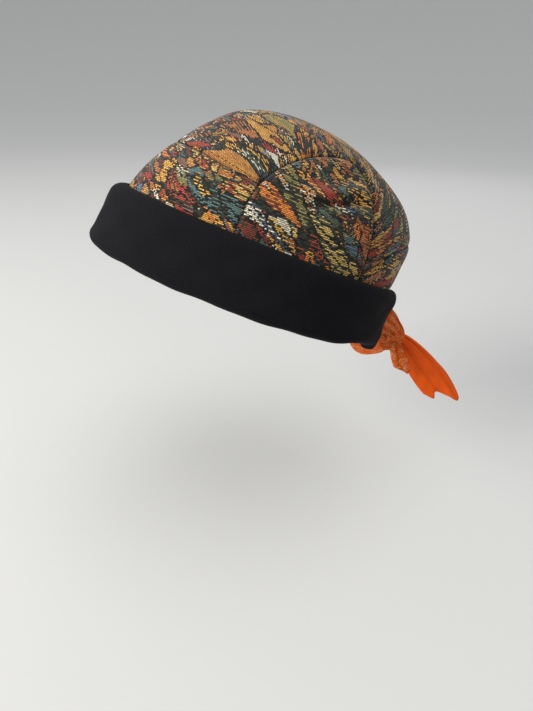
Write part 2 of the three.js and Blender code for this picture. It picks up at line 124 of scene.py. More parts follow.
class Line:
    """A curve through many close points, read by its share of length."""

    def __init__(self, points: np.ndarray) -> None:
        """Keep the points and their shares of the whole length.

        Args:
            points: Points along the curve.
        """
        steps = np.linalg.norm(np.diff(points, axis=0), axis=1)
        self.points = points
        self.length = float(steps.sum())
        self.shares = np.concatenate([[0.0], np.cumsum(steps)]) / self.length

    def at(self, shares: np.ndarray) -> np.ndarray:
        """Points at shares of the length."""
        axes = range(self.points.shape[1])
        return np.stack([np.interp(shares, self.shares, self.points[:, k]) for k in axes], -1)

    def samples(self, step: float) -> np.ndarray:
        """Points a step apart along the whole curve."""
        return self.at(np.linspace(0, 1, max(int(self.length / step), 2)))


@dataclass(frozen=True)
class Wearing:
    """How the hat's own frame is turned into the frame that everything shares.

    Attributes:
        tilt_back: Degrees that the crown leans to the back.
        lean_right: Degrees that the crown leans to the wearer's right.
    """

    tilt_back: float = 24.2
    lean_right: float = 9.8

    def placed(self, points: np.ndarray) -> np.ndarray:
        """Turn hat points in millimetres into placed points in metres.

        Args:
            points: Points in the hat's own frame.

        Returns:
            The points in the shared frame.
        """
        tilt = Matrix.Rotation(-math.radians(self.tilt_back), 3, "X")
        lean = Matrix.Rotation(-math.radians(self.lean_right), 3, "Y")
        return points @ np.array(tilt @ lean).T * MM


WEARING = Wearing()


# Shader building


class Value:
    """A number socket that takes part in Python expressions."""

    def __init__(self, shader: "Shader", socket: bpy.types.NodeSocket) -> None:
        """Keep the socket with the shader that it belongs to."""
        self.shader = shader
        self.socket = socket

    def math(self, operation: str, *others: Number) -> "Value":
        """Result of a Math node that starts with this value."""
        return self.shader.math(operation, self, *others)

    def __add__(self, other: Number) -> "Value":
        """Sum."""
        return self.math("ADD", other)

    def __sub__(self, other: Number) -> "Value":
        """Difference."""
        return self.math("SUBTRACT", other)

    def __rsub__(self, other: Number) -> "Value":
        """Difference from a plain number."""
        return self.shader.math("SUBTRACT", other, self)

    def __mul__(self, other: Number) -> "Value":
        """Product."""
        return self.math("MULTIPLY", other)

    def __truediv__(self, other: Number) -> "Value":
        """Quotient."""
        return self.math("DIVIDE", other)

    def __lt__(self, other: Number) -> "Value":
        """One where this is less, otherwise 0."""
        return self.math("LESS_THAN", other)

    def __gt__(self, other: Number) -> "Value":
        """One where this is more, otherwise 0."""
        return self.math("GREATER_THAN", other)

    def __abs__(self) -> "Value":
        """Size without the sign."""
        return self.math("ABSOLUTE")

    __radd__ = __add__
    __rmul__ = __mul__

    def soft(self, low: float, high: float) -> "Value":
        """Smooth step from 0 at low to 1 at high.

        Args:
            low: Value at which the step starts.
            high: Value at which the step ends.

        Returns:
            The step.
        """
        settings = {"interpolation_type": "SMOOTHSTEP"}
        values = {"Value": self, "From Min": low, "From Max": high}
        return self.shader.value("ShaderNodeMapRange", settings, values, "Result")


class Field:
    """A vector or colour socket that takes part in Python expressions."""

    def __init__(self, shader: "Shader", socket: bpy.types.NodeSocket) -> None:
        """Keep the socket with the shader that it belongs to."""
        self.shader = shader
        self.socket = socket

    def vector(self, operation: str, other: "Field | tuple") -> "Field":
        """Result of a Vector Math node on this and another vector."""
        settings = {"operation": operation}
        return self.shader.field("ShaderNodeVectorMath", settings, {0: self, 1: other}, "Vector")

    def __add__(self, other: "Field | tuple") -> "Field":
        """Sum."""
        return self.vector("ADD", other)

    def __sub__(self, other: "Field | tuple") -> "Field":
        """Difference."""
        return self.vector("SUBTRACT", other)

    def __mul__(self, other: "Field | Value | tuple | float") -> "Field":
        """Product with a vector, or scaled by a number."""
        if isinstance(other, (Field, tuple)):
            return self.vector("MULTIPLY", other)
        settings = {"operation": "SCALE"}
        values = {0: self, "Scale": other}
        return self.shader.field("ShaderNodeVectorMath", settings, values, "Vector")

    __radd__ = __add__
    __rmul__ = __mul__

    def parts(self) -> tuple[Value, Value, Value]:
        """The three numbers of the vector or colour."""
        node = self.shader.node("ShaderNodeSeparateXYZ", {}, {0: self})
        return tuple(Value(self.shader, node.outputs[k]) for k in range(3))

    def length(self) -> Value:
        """Length of the vector."""
        settings = {"operation": "LENGTH"}
        return self.shader.value("ShaderNodeVectorMath", settings, {0: self}, "Value")


class Shader:
    """A material under construction, with one method that makes any node."""

    def __init__(self, name: str) -> None:
        """Start a material with a Principled surface.

        Args:
            name: Name of the material.
        """
        self.material = bpy.data.materials.new(name)
        self.material.use_nodes = True
        self.tree = self.material.node_tree
        self.surface = self.tree.nodes["Principled BSDF"]

    def node(self, kind: str, settings: dict, values: dict) -> bpy.types.Node:
        """Make any node.

        Args:
            kind: The node's type.
            settings: Its properties, where stops are a ramp's (position, colour) pairs.
            values: Numbers, colours or sockets for its inputs, by name or index.

        Returns:
            The node.
        """
        made = self.tree.nodes.new(kind)
        for key, setting in settings.items():
            if key == "stops":
                self.fill_ramp(made.color_ramp, setting)
            else:
                setattr(made, key, setting)
        for key, value in values.items():
            self.feed(made.inputs[key], value)
        return made

    def fill_ramp(self, ramp: bpy.types.ColorRamp, stops: list[tuple]) -> None:
        """Give a ramp hard-edged stops.

        Args:
            ramp: The ramp.
            stops: Pairs of a position and a colour.
        """
        ramp.interpolation = "CONSTANT"
        while len(ramp.elements) < len(stops):
            ramp.elements.new(1.0)
        for element, (position, colour) in zip(ramp.elements, stops):
            element.position = position
            element.color = (*colour, 1.0)

    def feed(self, target: bpy.types.NodeSocket, value: object) -> None:
        """Link a socket, or set its constant.

        Args:
            target: Input socket.
            value: A Value, a Field or a constant.
        """
        if isinstance(value, (Value, Field)):
            self.tree.links.new(value.socket, target)
        elif isinstance(value, tuple) and target.type == "RGBA" and len(value) == 3:
            target.default_value = (*value, 1.0)
        else:
            target.default_value = value

    def value(self, kind: str, settings: dict, values: dict, output: str | int = 0) -> Value:
        """Number output of a new node."""
        return Value(self, self.node(kind, settings, values).outputs[output])

    def field(self, kind: str, settings: dict, values: dict, output: str | int = 0) -> Field:
        """Vector or colour output of a new node."""
        return Field(self, self.node(kind, settings, values).outputs[output])

    def math(self, operation: str, *values: Number) -> Value:
        """Output of a Math node."""
        return self.value("ShaderNodeMath", {"operation": operation}, dict(enumerate(values)))

    def combine(self, x: Number, y: Number, z: Number = 0.0) -> Field:
        """Vector of three numbers."""
        return self.field("ShaderNodeCombineXYZ", {}, {0: x, 1: y, 2: z})

    def blend(self, share: Number, a: object, b: object) -> Field:
        """Colour between two others."""
        node = self.node("ShaderNodeMix", {"data_type": "RGBA"}, {0: share, 6: a, 7: b})
        return Field(self, node.outputs[2])

    def noise(self, where: Field, scale: float, detail: float = 2.0) -> Value:
        """Soft noise from 0 to 1."""
        values = {"Vector": where, "Scale": scale, "Detail": detail}
        return self.value("ShaderNodeTexNoise", {"noise_dimensions": "3D"}, values, 0)

    def noise_field(self, where: Field, scale: float, detail: float = 1.0) -> Field:
        """Soft noise with three unlike numbers, each about 0.5."""
        values = {"Vector": where, "Scale": scale, "Detail": detail}
        return self.field("ShaderNodeTexNoise", {"noise_dimensions": "3D"}, values, "Color")

    def cells(self, where: Field, randomness: float = 1.0) -> tuple[Field, Field]:
        """Cells one unit apart.

        Args:
            where: Place to read, in cell widths.
            randomness: 0 for a square grid and 1 for free cells.

        Returns:
            The cell's random colour and its middle.
        """
        settings = {"voronoi_dimensions": "2D", "feature": "F1"}
        values = {"Vector": where, "Scale": 1.0, "Randomness": randomness}
        node = self.node("ShaderNodeTexVoronoi", settings, values)
        return Field(self, node.outputs["Color"]), Field(self, node.outputs["Position"])

    def borders(self, where: Field) -> Value:
        """Distance to the nearest border between cells one unit apart."""
        settings = {"voronoi_dimensions": "2D", "feature": "DISTANCE_TO_EDGE"}
        values = {"Vector": where, "Scale": 1.0}
        return self.value("ShaderNodeTexVoronoi", settings, values, "Distance")

    def speckle(self, where: Field) -> Value:
        """Random number for each whole place."""
        settings = {"noise_dimensions": "2D"}
        return self.value("ShaderNodeTexWhiteNoise", settings, {"Vector": where}, "Value")

    def cloth_place(self) -> Field:
        """Place on the flat cloth in millimetres, from the piece's own map."""
        return self.field("ShaderNodeUVMap", {"uv_map": CLOTH_MAP}, {}, "UV")

    def turned(self, where: Field, share: Value) -> Field:
        """A place turned about its origin by a share of a full turn."""
        return self.field("ShaderNodeVectorRotate", {"rotation_type": "Z_AXIS"},
                          {"Vector": where, "Angle": share * TURN}, "Vector")

    def bump(self, height: Value, depth: float, strength: float) -> None:
        """Raise the surface.

        Args:
            height: Height from 0 to 1.
            depth: Millimetres that a height of 1 stands for.
            strength: Strength of the effect.
        """
        values = {"Height": height, "Distance": depth * MM, "Strength": strength}
        made = self.field("ShaderNodeBump", {}, values, "Normal")
        self.feed(self.surface.inputs["Normal"], made)

    def finish(self, colour: Field | Colour, roughness: Number, constants: dict) -> bpy.types.Material:
        """Set the surface's sockets.

        Args:
            colour: Base colour.
            roughness: Roughness.
            constants: Other sockets that are the same all over.

        Returns:
            The material.
        """
        self.feed(self.surface.inputs["Base Color"], colour)
        self.feed(self.surface.inputs["Roughness"], roughness)
        for name, value in constants.items():
            self.feed(self.surface.inputs[name], value)
        return self.material


def screen(red: int, green: int, blue: int) -> Colour:
    """Linear colour of a screen colour from 0 to 255."""
    shares = [part / 255 for part in (red, green, blue)]
    return tuple(s / 12.92 if s <= 0.04045 else ((s + 0.055) / 1.055) ** 2.4 for s in shares)


@dataclass(frozen=True)
class TapestryFinish:
    """Many-coloured jacquard cloth with leaves, blooms and patches over a dark warp.

    Attributes:
        rib: Millimetres between two weft ribs.
        float_length: Millimetres that a weft thread lies on top.
        patch: Millimetres across a large patch.
        small_patch: Millimetres across a small patch.
        leaf: Millimetres between leaves.
        bloom: Millimetres between blooms.
        warp: Colour of the dark threads between the ribs.
        dim: Colour of the threads that show faintly in the dark ground.
        lit: How much brighter a thread's middle is than the whole cloth.
        muted: Share of grey on the reverse side.
        wander: Millimetres that the motifs' lines wander.
        stripe: Distance between two stripes of a patch.
        heart: Radius of a bloom's middle.
        outline_reach: Half width of the motifs' dark outlines.
    """

    rib: float = 1.05
    float_length: float = 2.4
    patch: float = 19.0
    small_patch: float = 8.5
    leaf: float = 13.0
    bloom: float = 31.0
    warp: Colour = screen(13, 14, 12)
    dim: Colour = screen(58, 56, 42)
    lit: float = 1.2
    muted: float = 0.0
    wander: float = 18.0
    stripe: float = 5.2
    heart: float = 1.9
    outline_reach: float = 0.55

    def palette(self) -> list[tuple[float, Colour]]:
        """Thread colours with the share at which each one starts."""
        return [
            (0.00, screen(206, 151, 68)),
            (0.19, screen(172, 106, 56)),
            (0.33, screen(34, 40, 30)),
            (0.44, screen(200, 166, 92)),
            (0.54, screen(164, 56, 44)),
            (0.64, screen(82, 108, 104)),
            (0.70, screen(124, 94, 84)),
            (0.78, screen(130, 124, 70)),
            (0.87, screen(206, 200, 176)),
            (0.91, screen(94, 116, 156)),
            (0.94, screen(206, 122, 48)),
        ]

    def second_palette(self) -> list[tuple[float, Colour]]:
        """Colours of the threads that are woven in among the first ones."""
        return [
            (0.00, screen(112, 52, 34)),
            (0.22, screen(190, 140, 66)),
            (0.40, screen(26, 32, 28)),
            (0.60, screen(78, 92, 74)),
            (0.74, screen(190, 184, 160)),
            (0.82, screen(150, 70, 44)),
            (0.92, screen(70, 84, 100)),
        ]

    def build(self, name: str) -> bpy.types.Material:
        """Make the cloth's material.

        Args:
            name: Name of the material.

        Returns:
            The material.
        """
        s = Shader(name)
        place = s.cloth_place()
        along, across, _ = place.parts()
        row = (across / self.rib).math("FLOOR")
        shifted = along / self.float_length + row * 0.5
        step = (shifted * 2.0).math("FLOOR") * (self.float_length / 2)
        pixel = s.combine(step, row * self.rib)
        drift = s.noise_field(pixel, 0.045, 2.0) - (0.5, 0.5, 0.5)
        ragged = s.noise_field(pixel, 0.32, 1.0) - (0.5, 0.5, 0.5)
        drawn = pixel + drift * self.wander + ragged

        first, second, outline = self.patches(s, drawn)
        first, second, outline = self.leaves(s, drawn, first, second, outline)
        first, second, outline = self.blooms(s, drawn, first, second, outline)

        fleck = s.speckle(s.combine(shifted.math("FLOOR"), row))
        parity = (row * 0.5).math("FRACT") * 1.1 + fleck * 0.42
        share = s.noise(drawn, 0.1, 1.0).soft(0.36, 0.72)
        woven = s.blend(parity < share, first, second)
        woven = s.blend(outline, woven, self.warp)
        shade = s.speckle(s.combine(row, shifted.math("FLOOR"))) * 0.5 + 0.72
        dim = s.blend(((fleck * 5.0).math("FRACT") > 0.62), self.warp, self.dim)
        woven = (woven * shade * self.lit).vector("MAXIMUM", dim)

        profile = abs(abs((across / self.rib).math("FRACT") - 0.5) * 2.0)
        ends = abs(shifted.math("FRACT") - 0.5) * 2.0
        gap = s.math("MAXIMUM", profile.soft(0.25, 0.9), ends.soft(0.5, 0.95) * 0.65)
        dark = gap * 0.9
        colour = s.blend(dark, woven, self.warp)
        seam = s.value("ShaderNodeAttribute", {"attribute_name": SEAM_ATTRIBUTE}, {}, "Fac")
        # Painted shade: the colour darkens by up to 0.6 within 1.3 mm of a seam, in the seam's groove.
        seam_groove_shade = 1.0 - seam.soft(1.3, 0.0) * 0.6
        colour = colour * seam_groove_shade
        if self.muted:
            colour = s.blend(self.muted, colour, self.warp)
        height = (1.0 - gap) * 0.75 + shade * 0.25
        s.bump(height, 0.32, 0.8)
        constants = {"Sheen Weight": 0.12, "Sheen Roughness": 0.5, "Specular IOR Level": 0.2}
        return s.finish(colour, 0.86, constants)

    def pick(self, s: Shader, number: Value, stops: list[tuple[float, Colour]]) -> Field:
        """Thread colour for a random number."""
        return s.field("ShaderNodeValToRGB", {"stops": stops}, {0: number}, "Color")

    def patches(self, s: Shader, drawn: Field) -> tuple[Field, Field, Value]:
        """Large patches, some of them split into small ones or stripes.

        Args:
            s: Shader that the nodes are added to.
            drawn: Place on the cloth with wandering lines.

        Returns:
            The main colour, the second colour and the share of dark outline.
        """
        large = drawn * (1 / self.patch)
        random, _ = s.cells(large)
        tone, kind, other = random.parts()
        edge = s.borders(large) * self.patch
        little = (drawn + (140.0, 60.0, 0.0)) * (1 / self.small_patch)
        small_random, _ = s.cells(little)
        small_tone, small_other, _ = small_random.parts()
        small_edge = s.borders(little) * self.small_patch
        split = kind > 0.5
        first = s.blend(split, self.pick(s, tone, self.palette()),
                        self.pick(s, small_tone, self.palette()))
        second = s.blend(split, self.pick(s, other, self.second_palette()),
                         self.pick(s, small_other, self.second_palette()))
        x, y, _ = drawn.parts()
        stripe = ((x * 0.5 + y * 0.86) / self.stripe).math("FRACT") > 0.72
        line = s.math("MAXIMUM", (edge < 0.95) * 1.0, (small_edge < self.outline_reach) * split)
        line = s.math("MAXIMUM", line, stripe * (other > 0.55) * (1.0 - split))
        return first, second, line

    def leaves(self, s: Shader, drawn: Field, first: Field, second: Field,
               outline: Value) -> tuple[Field, Field, Value]:
        """Lay veined leaves over what is there.

        Args:
            s: Shader that the nodes are added to.
            drawn: Place on the cloth with wandering lines.
            first: Main colour so far.
            second: Second colour so far.
            outline: Share of dark outline so far.

        Returns:
            The same three with the leaves.
        """
        place = (drawn + (31.0, 77.0, 0.0)) * (1 / self.leaf)
        random, middle = s.cells(place, 0.85)
        tone, angle, chosen = random.parts()
        x, y, _ = s.turned((place - middle) * self.leaf, angle).parts()
        half = 2.7 - (x * x) * 0.105
        inside = (abs(y) < half) * (chosen > 0.5)
        rim = (abs(abs(y) - half) < self.outline_reach) * (half > -0.3) * (chosen > 0.5)
        vein = (abs(y) < 0.32) * inside
        first = s.blend(inside, first, self.pick(s, tone, self.palette()))
        second = s.blend(inside, second, self.pick(s, angle, self.second_palette()))
        outline = outline * (1.0 - inside)
        return first, second, s.math("MAXIMUM", outline, s.math("MAXIMUM", rim, vein))

    def blooms(self, s: Shader, drawn: Field, first: Field, second: Field,
               outline: Value) -> tuple[Field, Field, Value]:
        """Lay five-petalled blooms over what is there.

        Args:
            s: Shader that the nodes are added to.
            drawn: Place on the cloth with wandering lines.
            first: Main colour so far.
            second: Second colour so far.
            outline: Share of dark outline so far.

        Returns:
            The same three with the blooms.
        """
        place = (drawn + (210.0, 15.0, 0.0)) * (1 / self.bloom)
        random, middle = s.cells(place, 0.7)
        tone, start, size = random.parts()
        from_middle = (place - middle) * self.bloom
        x, y, _ = from_middle.parts()
        angle = s.math("ARCTAN2", y, x) * 5.0 + start * TURN
        petal = (angle.math("COSINE") * 0.2 + 0.8) * (size * 3.0 + 4.6)
        away = from_middle.length()
        inside = away < petal
        heart = away < self.heart
        petal_rim, heart_rim = abs(away - petal) < self.outline_reach, abs(away - self.heart) < 0.4
        rim = s.math("MAXIMUM", petal_rim, heart_rim)
        first = s.blend(inside, first, self.pick(s, tone, self.palette()))
        first = s.blend(heart, first, screen(224, 178, 80))
        second = s.blend(inside, second, self.pick(s, size, self.second_palette()))
        outline = outline * (1.0 - inside)
        return first, second, s.math("MAXIMUM", outline, rim)


@dataclass(frozen=True)
class CottonFinish:
    """Matt black cotton with fine cross ribs.

    Attributes:
        colour: Colour of the raised threads.
        shade: Colour between them.
        rib: Millimetres between two ribs.
        slant: Degrees that the ribs run off the cuff's edge.
    """

    colour: Colour = screen(24, 24, 28)
    shade: Colour = screen(3, 3, 4)
    rib: float = 1.35
    slant: float = 12.0

    def build(self, name: str) -> bpy.types.Material:
        """Make the cloth's material.

        Args:
            name: Name of the material.

        Returns:
            The material.
        """
        s = Shader(name)
        place = s.cloth_place()
        along, across, _ = place.parts()
        lean = math.radians(self.slant)
        ribs = across * (math.cos(lean) / self.rib) + along * (math.sin(lean) / self.rib)
        wander = s.noise(place, 0.11, 2.0) * 1.4
        wave = ((ribs + wander) * TURN).math("SINE") * 0.5 + 0.5
        fuzz = s.noise(place, 1.9, 3.0)
        broad = s.noise(place, 0.055, 3.0)
        tone = wave * 0.55 + fuzz * 0.5 + broad * 0.55 + 0.24
        colour = s.blend(tone * 0.5, self.shade, self.colour)
        s.bump(wave * 0.7 + fuzz * 0.6, 0.24, 0.8)
        constants = {"Sheen Weight": 0.01, "Sheen Roughness": 0.5, "Specular IOR Level": 0.1}
        return s.finish(colour, 0.93, constants)


@dataclass(frozen=True)
class KerchiefFinish:
    """Thin orange cotton, plain or printed with drop shapes and dots.

    Attributes:
        bright: Colour of the lit cloth.
        shaded_orange: Darker orange read from the cloth's shaded folds; mixed in by broad noise, it is
            partly random mottling and partly painted shade.
        print_colour: Colour of the printed lines.
        motif: Millimetres between two printed drops, or 0 for plain cloth.
        drop: Radius of a printed drop.
    """

    bright: Colour = screen(228, 90, 0)
    shaded_orange: Colour = screen(184, 52, 0)
    print_colour: Colour = screen(214, 146, 100)
    motif: float = 0.0
    drop: float = 2.3

    def build(self, name: str) -> bpy.types.Material:
        """Make the cloth's material.

        Args:
            name: Name of the material.

        Returns:
            The material.
        """
        s = Shader(name)
        place = s.cloth_place()
        along, across, _ = place.parts()
        broad = s.noise(place, 0.09, 3.0)
        fine = s.noise(place, 1.3, 2.0)
        # Painted shade mixed with random mottling: broad noise takes the colour up to 0.6 of the way from
        # the lit orange to the shaded orange.
        colour = s.blend(broad * 0.6, self.bright, self.shaded_orange)
        threads = ((along * 9.0).math("SINE") + (across * 9.0).math("SINE")) * 0.25 + 0.5
        colour = colour * (fine * 0.16 + threads * 0.06 + 0.86)
        if self.motif:
            colour = s.blend(self.printed(s, place), colour, self.print_colour)
        s.bump(threads * 0.5 + fine * 0.5, 0.12, 0.55)
        constants = {"Sheen Weight": 0.02, "Sheen Roughness": 0.4, "Specular IOR Level": 0.15}
        return s.finish(colour, 0.55, constants)

    def printed(self, s: Shader, place: Field) -> Value:
        """Share of print: an outlined drop with a curl and a dot in each cell.

        Args:
            s: Shader that the nodes are added to.
            place: Place on the flat cloth in millimetres.

        Returns:
            Share from 0 to 1.
        """
        cell = place * (1 / self.motif)
        random, middle = s.cells(cell, 0.75)
        turn, _, _ = random.parts()
        x, y, _ = s.turned((cell - middle) * self.motif, turn).parts()
        drop = (x * x + y * y * (1.5 - x * 0.28)).math("SQRT")
        ring = abs(drop - self.drop).soft(0.75, 0.3)
        heart = drop.soft(1.0, 0.7)
        edge = (s.borders(cell) * self.motif).soft(0.45, 0.15)
        dots = ((x + y) * 2.6).math("SINE").soft(0.0, 0.5)
        faded = s.noise(place, 0.5, 2.0).soft(0.3, 0.6)
        lines = s.math("MAXIMUM", s.math("MAXIMUM", ring, heart), edge * dots)
        return lines * (faded * 0.55 + 0.12)


# Pieces


@dataclass(frozen=True)
class Sheet:
    """Stated flat size of a piece of cloth, mostly worked back from its form, and its hold.

    Attributes:
        flat: Width and length laid flat, in millimetres.
        hold: How it is held.
        rests_on: Names of what it lies on or is sewn to.
        share: Flat area as a share of its width times length.
    """

    flat: tuple[float, float]
    hold: Hold
    rests_on: tuple[str, ...]
    share: float = 1.0


def add_piece(
    mesh: bmesh.types.BMesh, name: str, materials: list[bpy.types.Material], slot: Slot,
    node: str | None, sheet: Sheet | None,
) -> bpy.types.Object:
    """Turn a bmesh into a placed piece that rides on the hat.

    Args:
        mesh: The piece's form in the shared frame.
        name: Name of the piece.
        materials: Its materials.
        slot: Not used.
        node: Solid that it stands for.
        sheet: Flat size and hold of its cloth.

    Returns:
        The piece.
    """
    data = bpy.data.meshes.new(name)
    mesh.to_mesh(data)
    mesh.free()
    data.shade_smooth()
    for material in materials:
        data.materials.append(material)
    piece = bpy.data.objects.new(name, data)
    bpy.context.scene.collection.objects.link(piece)
    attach(piece, BODY)
    if node:
        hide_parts(node)
    if sheet:
        width, length = (side * MM for side in sheet.flat)
        area = width * length * sheet.share
        list(sheet.rests_on)
    LOG.info("%s: %d faces", name, len(data.polygons))
    return piece


def shaped_grid(columns: int, rows: int, shape: Shape) -> bmesh.types.BMesh:
    """A grid whose points are placed by a shape, with the flat cloth as its map.

    Args:
        columns: Faces across.
        rows: Faces along.
        shape: Gives hat points and cloth places for shares across and along.

    Returns:
        The bmesh in the shared frame.
    """
    mesh = bmesh.new()
    bmesh.ops.create_grid(mesh, x_segments=columns, y_segments=rows, size=1.0)
    flat = np.array([vert.co[:2] for vert in mesh.verts]) / 2 + 0.5
    points, cloth = shape(flat[:, 0], flat[:, 1])
    for vert, point in zip(mesh.verts, WEARING.placed(points)):
        vert.co = point
    layer = mesh.loops.layers.uv.new(CLOTH_MAP)
    for face in mesh.faces:
        for loop in face.loops:
            loop[layer].uv = cloth[loop.vert.index]
    return mesh


def face_away(mesh: bmesh.types.BMesh, middle: np.ndarray) -> None:
    """Turn an open sheet so that its faces look away from a point.

    Args:
        mesh: The sheet in the shared frame.
        middle: Point in the hat's own frame that it looks away from.
    """
    mesh.normal_update()
    centre = Vector(WEARING.placed(middle))
    facing = sum(face.normal.dot(face.calc_center_median() - centre) for face in mesh.faces)
    if facing < 0:
        bmesh.ops.reverse_faces(mesh, faces=mesh.faces[:])


def thicken(piece: bpy.types.Object, thickness: float, offset: float, reverse: int = 0) -> None:
    """Give a sheet its thickness.

    Args:
        piece: The sheet.
        thickness: Millimetres.
        offset: -1 to grow inwards and 0 to both sides.
        reverse: Material of the reverse side, counted from the front's.
    """
    wall = piece.modifiers.new("cloth", "SOLIDIFY")
    wall.thickness = thickness * MM
    wall.offset = offset
    wall.use_even_offset = False
    wall.material_offset = reverse


# Crown


@dataclass
class CrownForm:
    """The dome that the panels lie on, in the hat's own frame and millimetres.

    Attributes:
        half_length: Half of the rim's length.
        half_width: Half of the rim's width.
        rise: Height of the dome over its foot.
        foot: Height of the lower edge over the rim plane.
        heart: Point that the dome is seen whole from.
    """

    half_length: float = 100.0
    half_width: float = 84.5
    rise: float = 118.0
    foot: float = 8.0
    heart: tuple[float, float, float] = (0.0, 4.0, 45.0)
    table: np.ndarray = field(init=False)

    # Rise, front, back and side as shares of the rise, the half length and the half width
    SECTIONS = (
        (0.0, 1.0, 1.0, 1.0),
        (0.2, 1.0, 1.045, 1.025),
        (0.41, 0.92, 1.075, 1.015),
        (0.595, 0.78, 1.05, 0.94),
        (0.765, 0.61, 0.89, 0.78),
        (0.895, 0.44, 0.63, 0.57),
        (0.97, 0.23, 0.34, 0.31),
        (1.0, 0.0, 0.0, 0.0),
    )

    def __post_init__(self) -> None:
        """Sample the sections closely, with a rounded top over the last one."""
        rows = np.array(self.SECTIONS)
        body = hermite(rows, np.linspace(0, len(rows) - 2, 700))
        last = body[-1]
        left = np.linspace(1, 0, 90)[1:, None]
        rises = 1 - (1 - last[0]) * left**2
        self.table = np.vstack([body, np.hstack([rises, last[1:] * left])])

    def shares(self, height: np.ndarray) -> tuple[np.ndarray, np.ndarray, np.ndarray]:
        """Middle, reach and half width of the dome at heights.

        Args:
            height: Heights over the rim plane.

        Returns:
            Place of the middle along the hat, half length and half width there.
        """
        share = np.clip((height - self.foot) / self.rise, 0, 1)
        front, back, side = (np.interp(share, self.table[:, 0], self.table[:, k]) for k in (1, 2, 3))
        return (
            self.half_length * (back - front) / 2,
            self.half_length * (front + back) / 2,
            self.half_width * side,
        )

    def at(self, bearing: np.ndarray, height: np.ndarray) -> np.ndarray:
        """Points at bearings from the front and heights over the rim plane.

        Args:
            bearing: Degrees from the front towards the wearer's left.
            height: Heights over the rim plane.

        Returns:
            Points on the dome.
        """
        middle, reach, half = self.shares(height)
        turn = np.radians(bearing)
        x = half * np.sin(turn)
        y = middle - reach * np.cos(turn)
        return np.stack(np.broadcast_arrays(x, y, height), -1)

    def lifted(self, side_view: np.ndarray) -> np.ndarray:
        """Points on the wearer's left for points in the side view.

        Args:
            side_view: Places along the hat and heights.

        Returns:
            The points that lie on the dome.
        """
        middle, reach, half = self.shares(side_view[:, 1])
        left = 1 - ((side_view[:, 0] - middle) / np.maximum(reach, 1e-6)) ** 2
        kept = left >= 0
        x = half[kept] * np.sqrt(left[kept])
        return np.column_stack([x, side_view[kept]])

    def outside(self, points: np.ndarray) -> np.ndarray:
        """Above 0 where a point lies outside the dome."""
        middle, reach, half = self.shares(points[:, 2])
        across = points[:, 0] / np.maximum(half, 1e-6)
        along = (points[:, 1] - middle) / np.maximum(reach, 1e-6)
        above = points[:, 2] > self.foot + self.rise
        return np.where(above, 1.0, across**2 + along**2 - 1)

    def projected(self, points: np.ndarray) -> np.ndarray:
        """Move points along rays from the heart onto the dome.

        Args:
            points: Any points around the dome.

        Returns:
            The points on the dome.
        """
        heart = np.array(self.heart)
        ray = unit(points - heart)
        low, high = np.zeros(len(points)), np.full(len(points), 2.5 * self.half_length)
        for _ in range(36):
            reach = (low + high) / 2
            out = self.outside(heart + ray * reach[:, None]) > 0
            high = np.where(out, reach, high)
            low = np.where(out, low, reach)
        return heart + ray * low[:, None]

    def normals(self, points: np.ndarray, step: float = 0.8) -> np.ndarray:
        """Outward directions of the dome at points on it.

        Args:
            points: Points on the dome.
            step: Millimetres over which the slope is taken.

        Returns:
            One direction for each point.
        """
        shift = np.eye(3) * step
        slopes = [self.outside(points + s) - self.outside(points - s) for s in shift]
        return unit(np.stack(slopes, -1))

    def mirrored(self, line: np.ndarray) -> np.ndarray:
        """The line on the wearer's other side."""
        return line * np.array([-1.0, 1.0, 1.0])


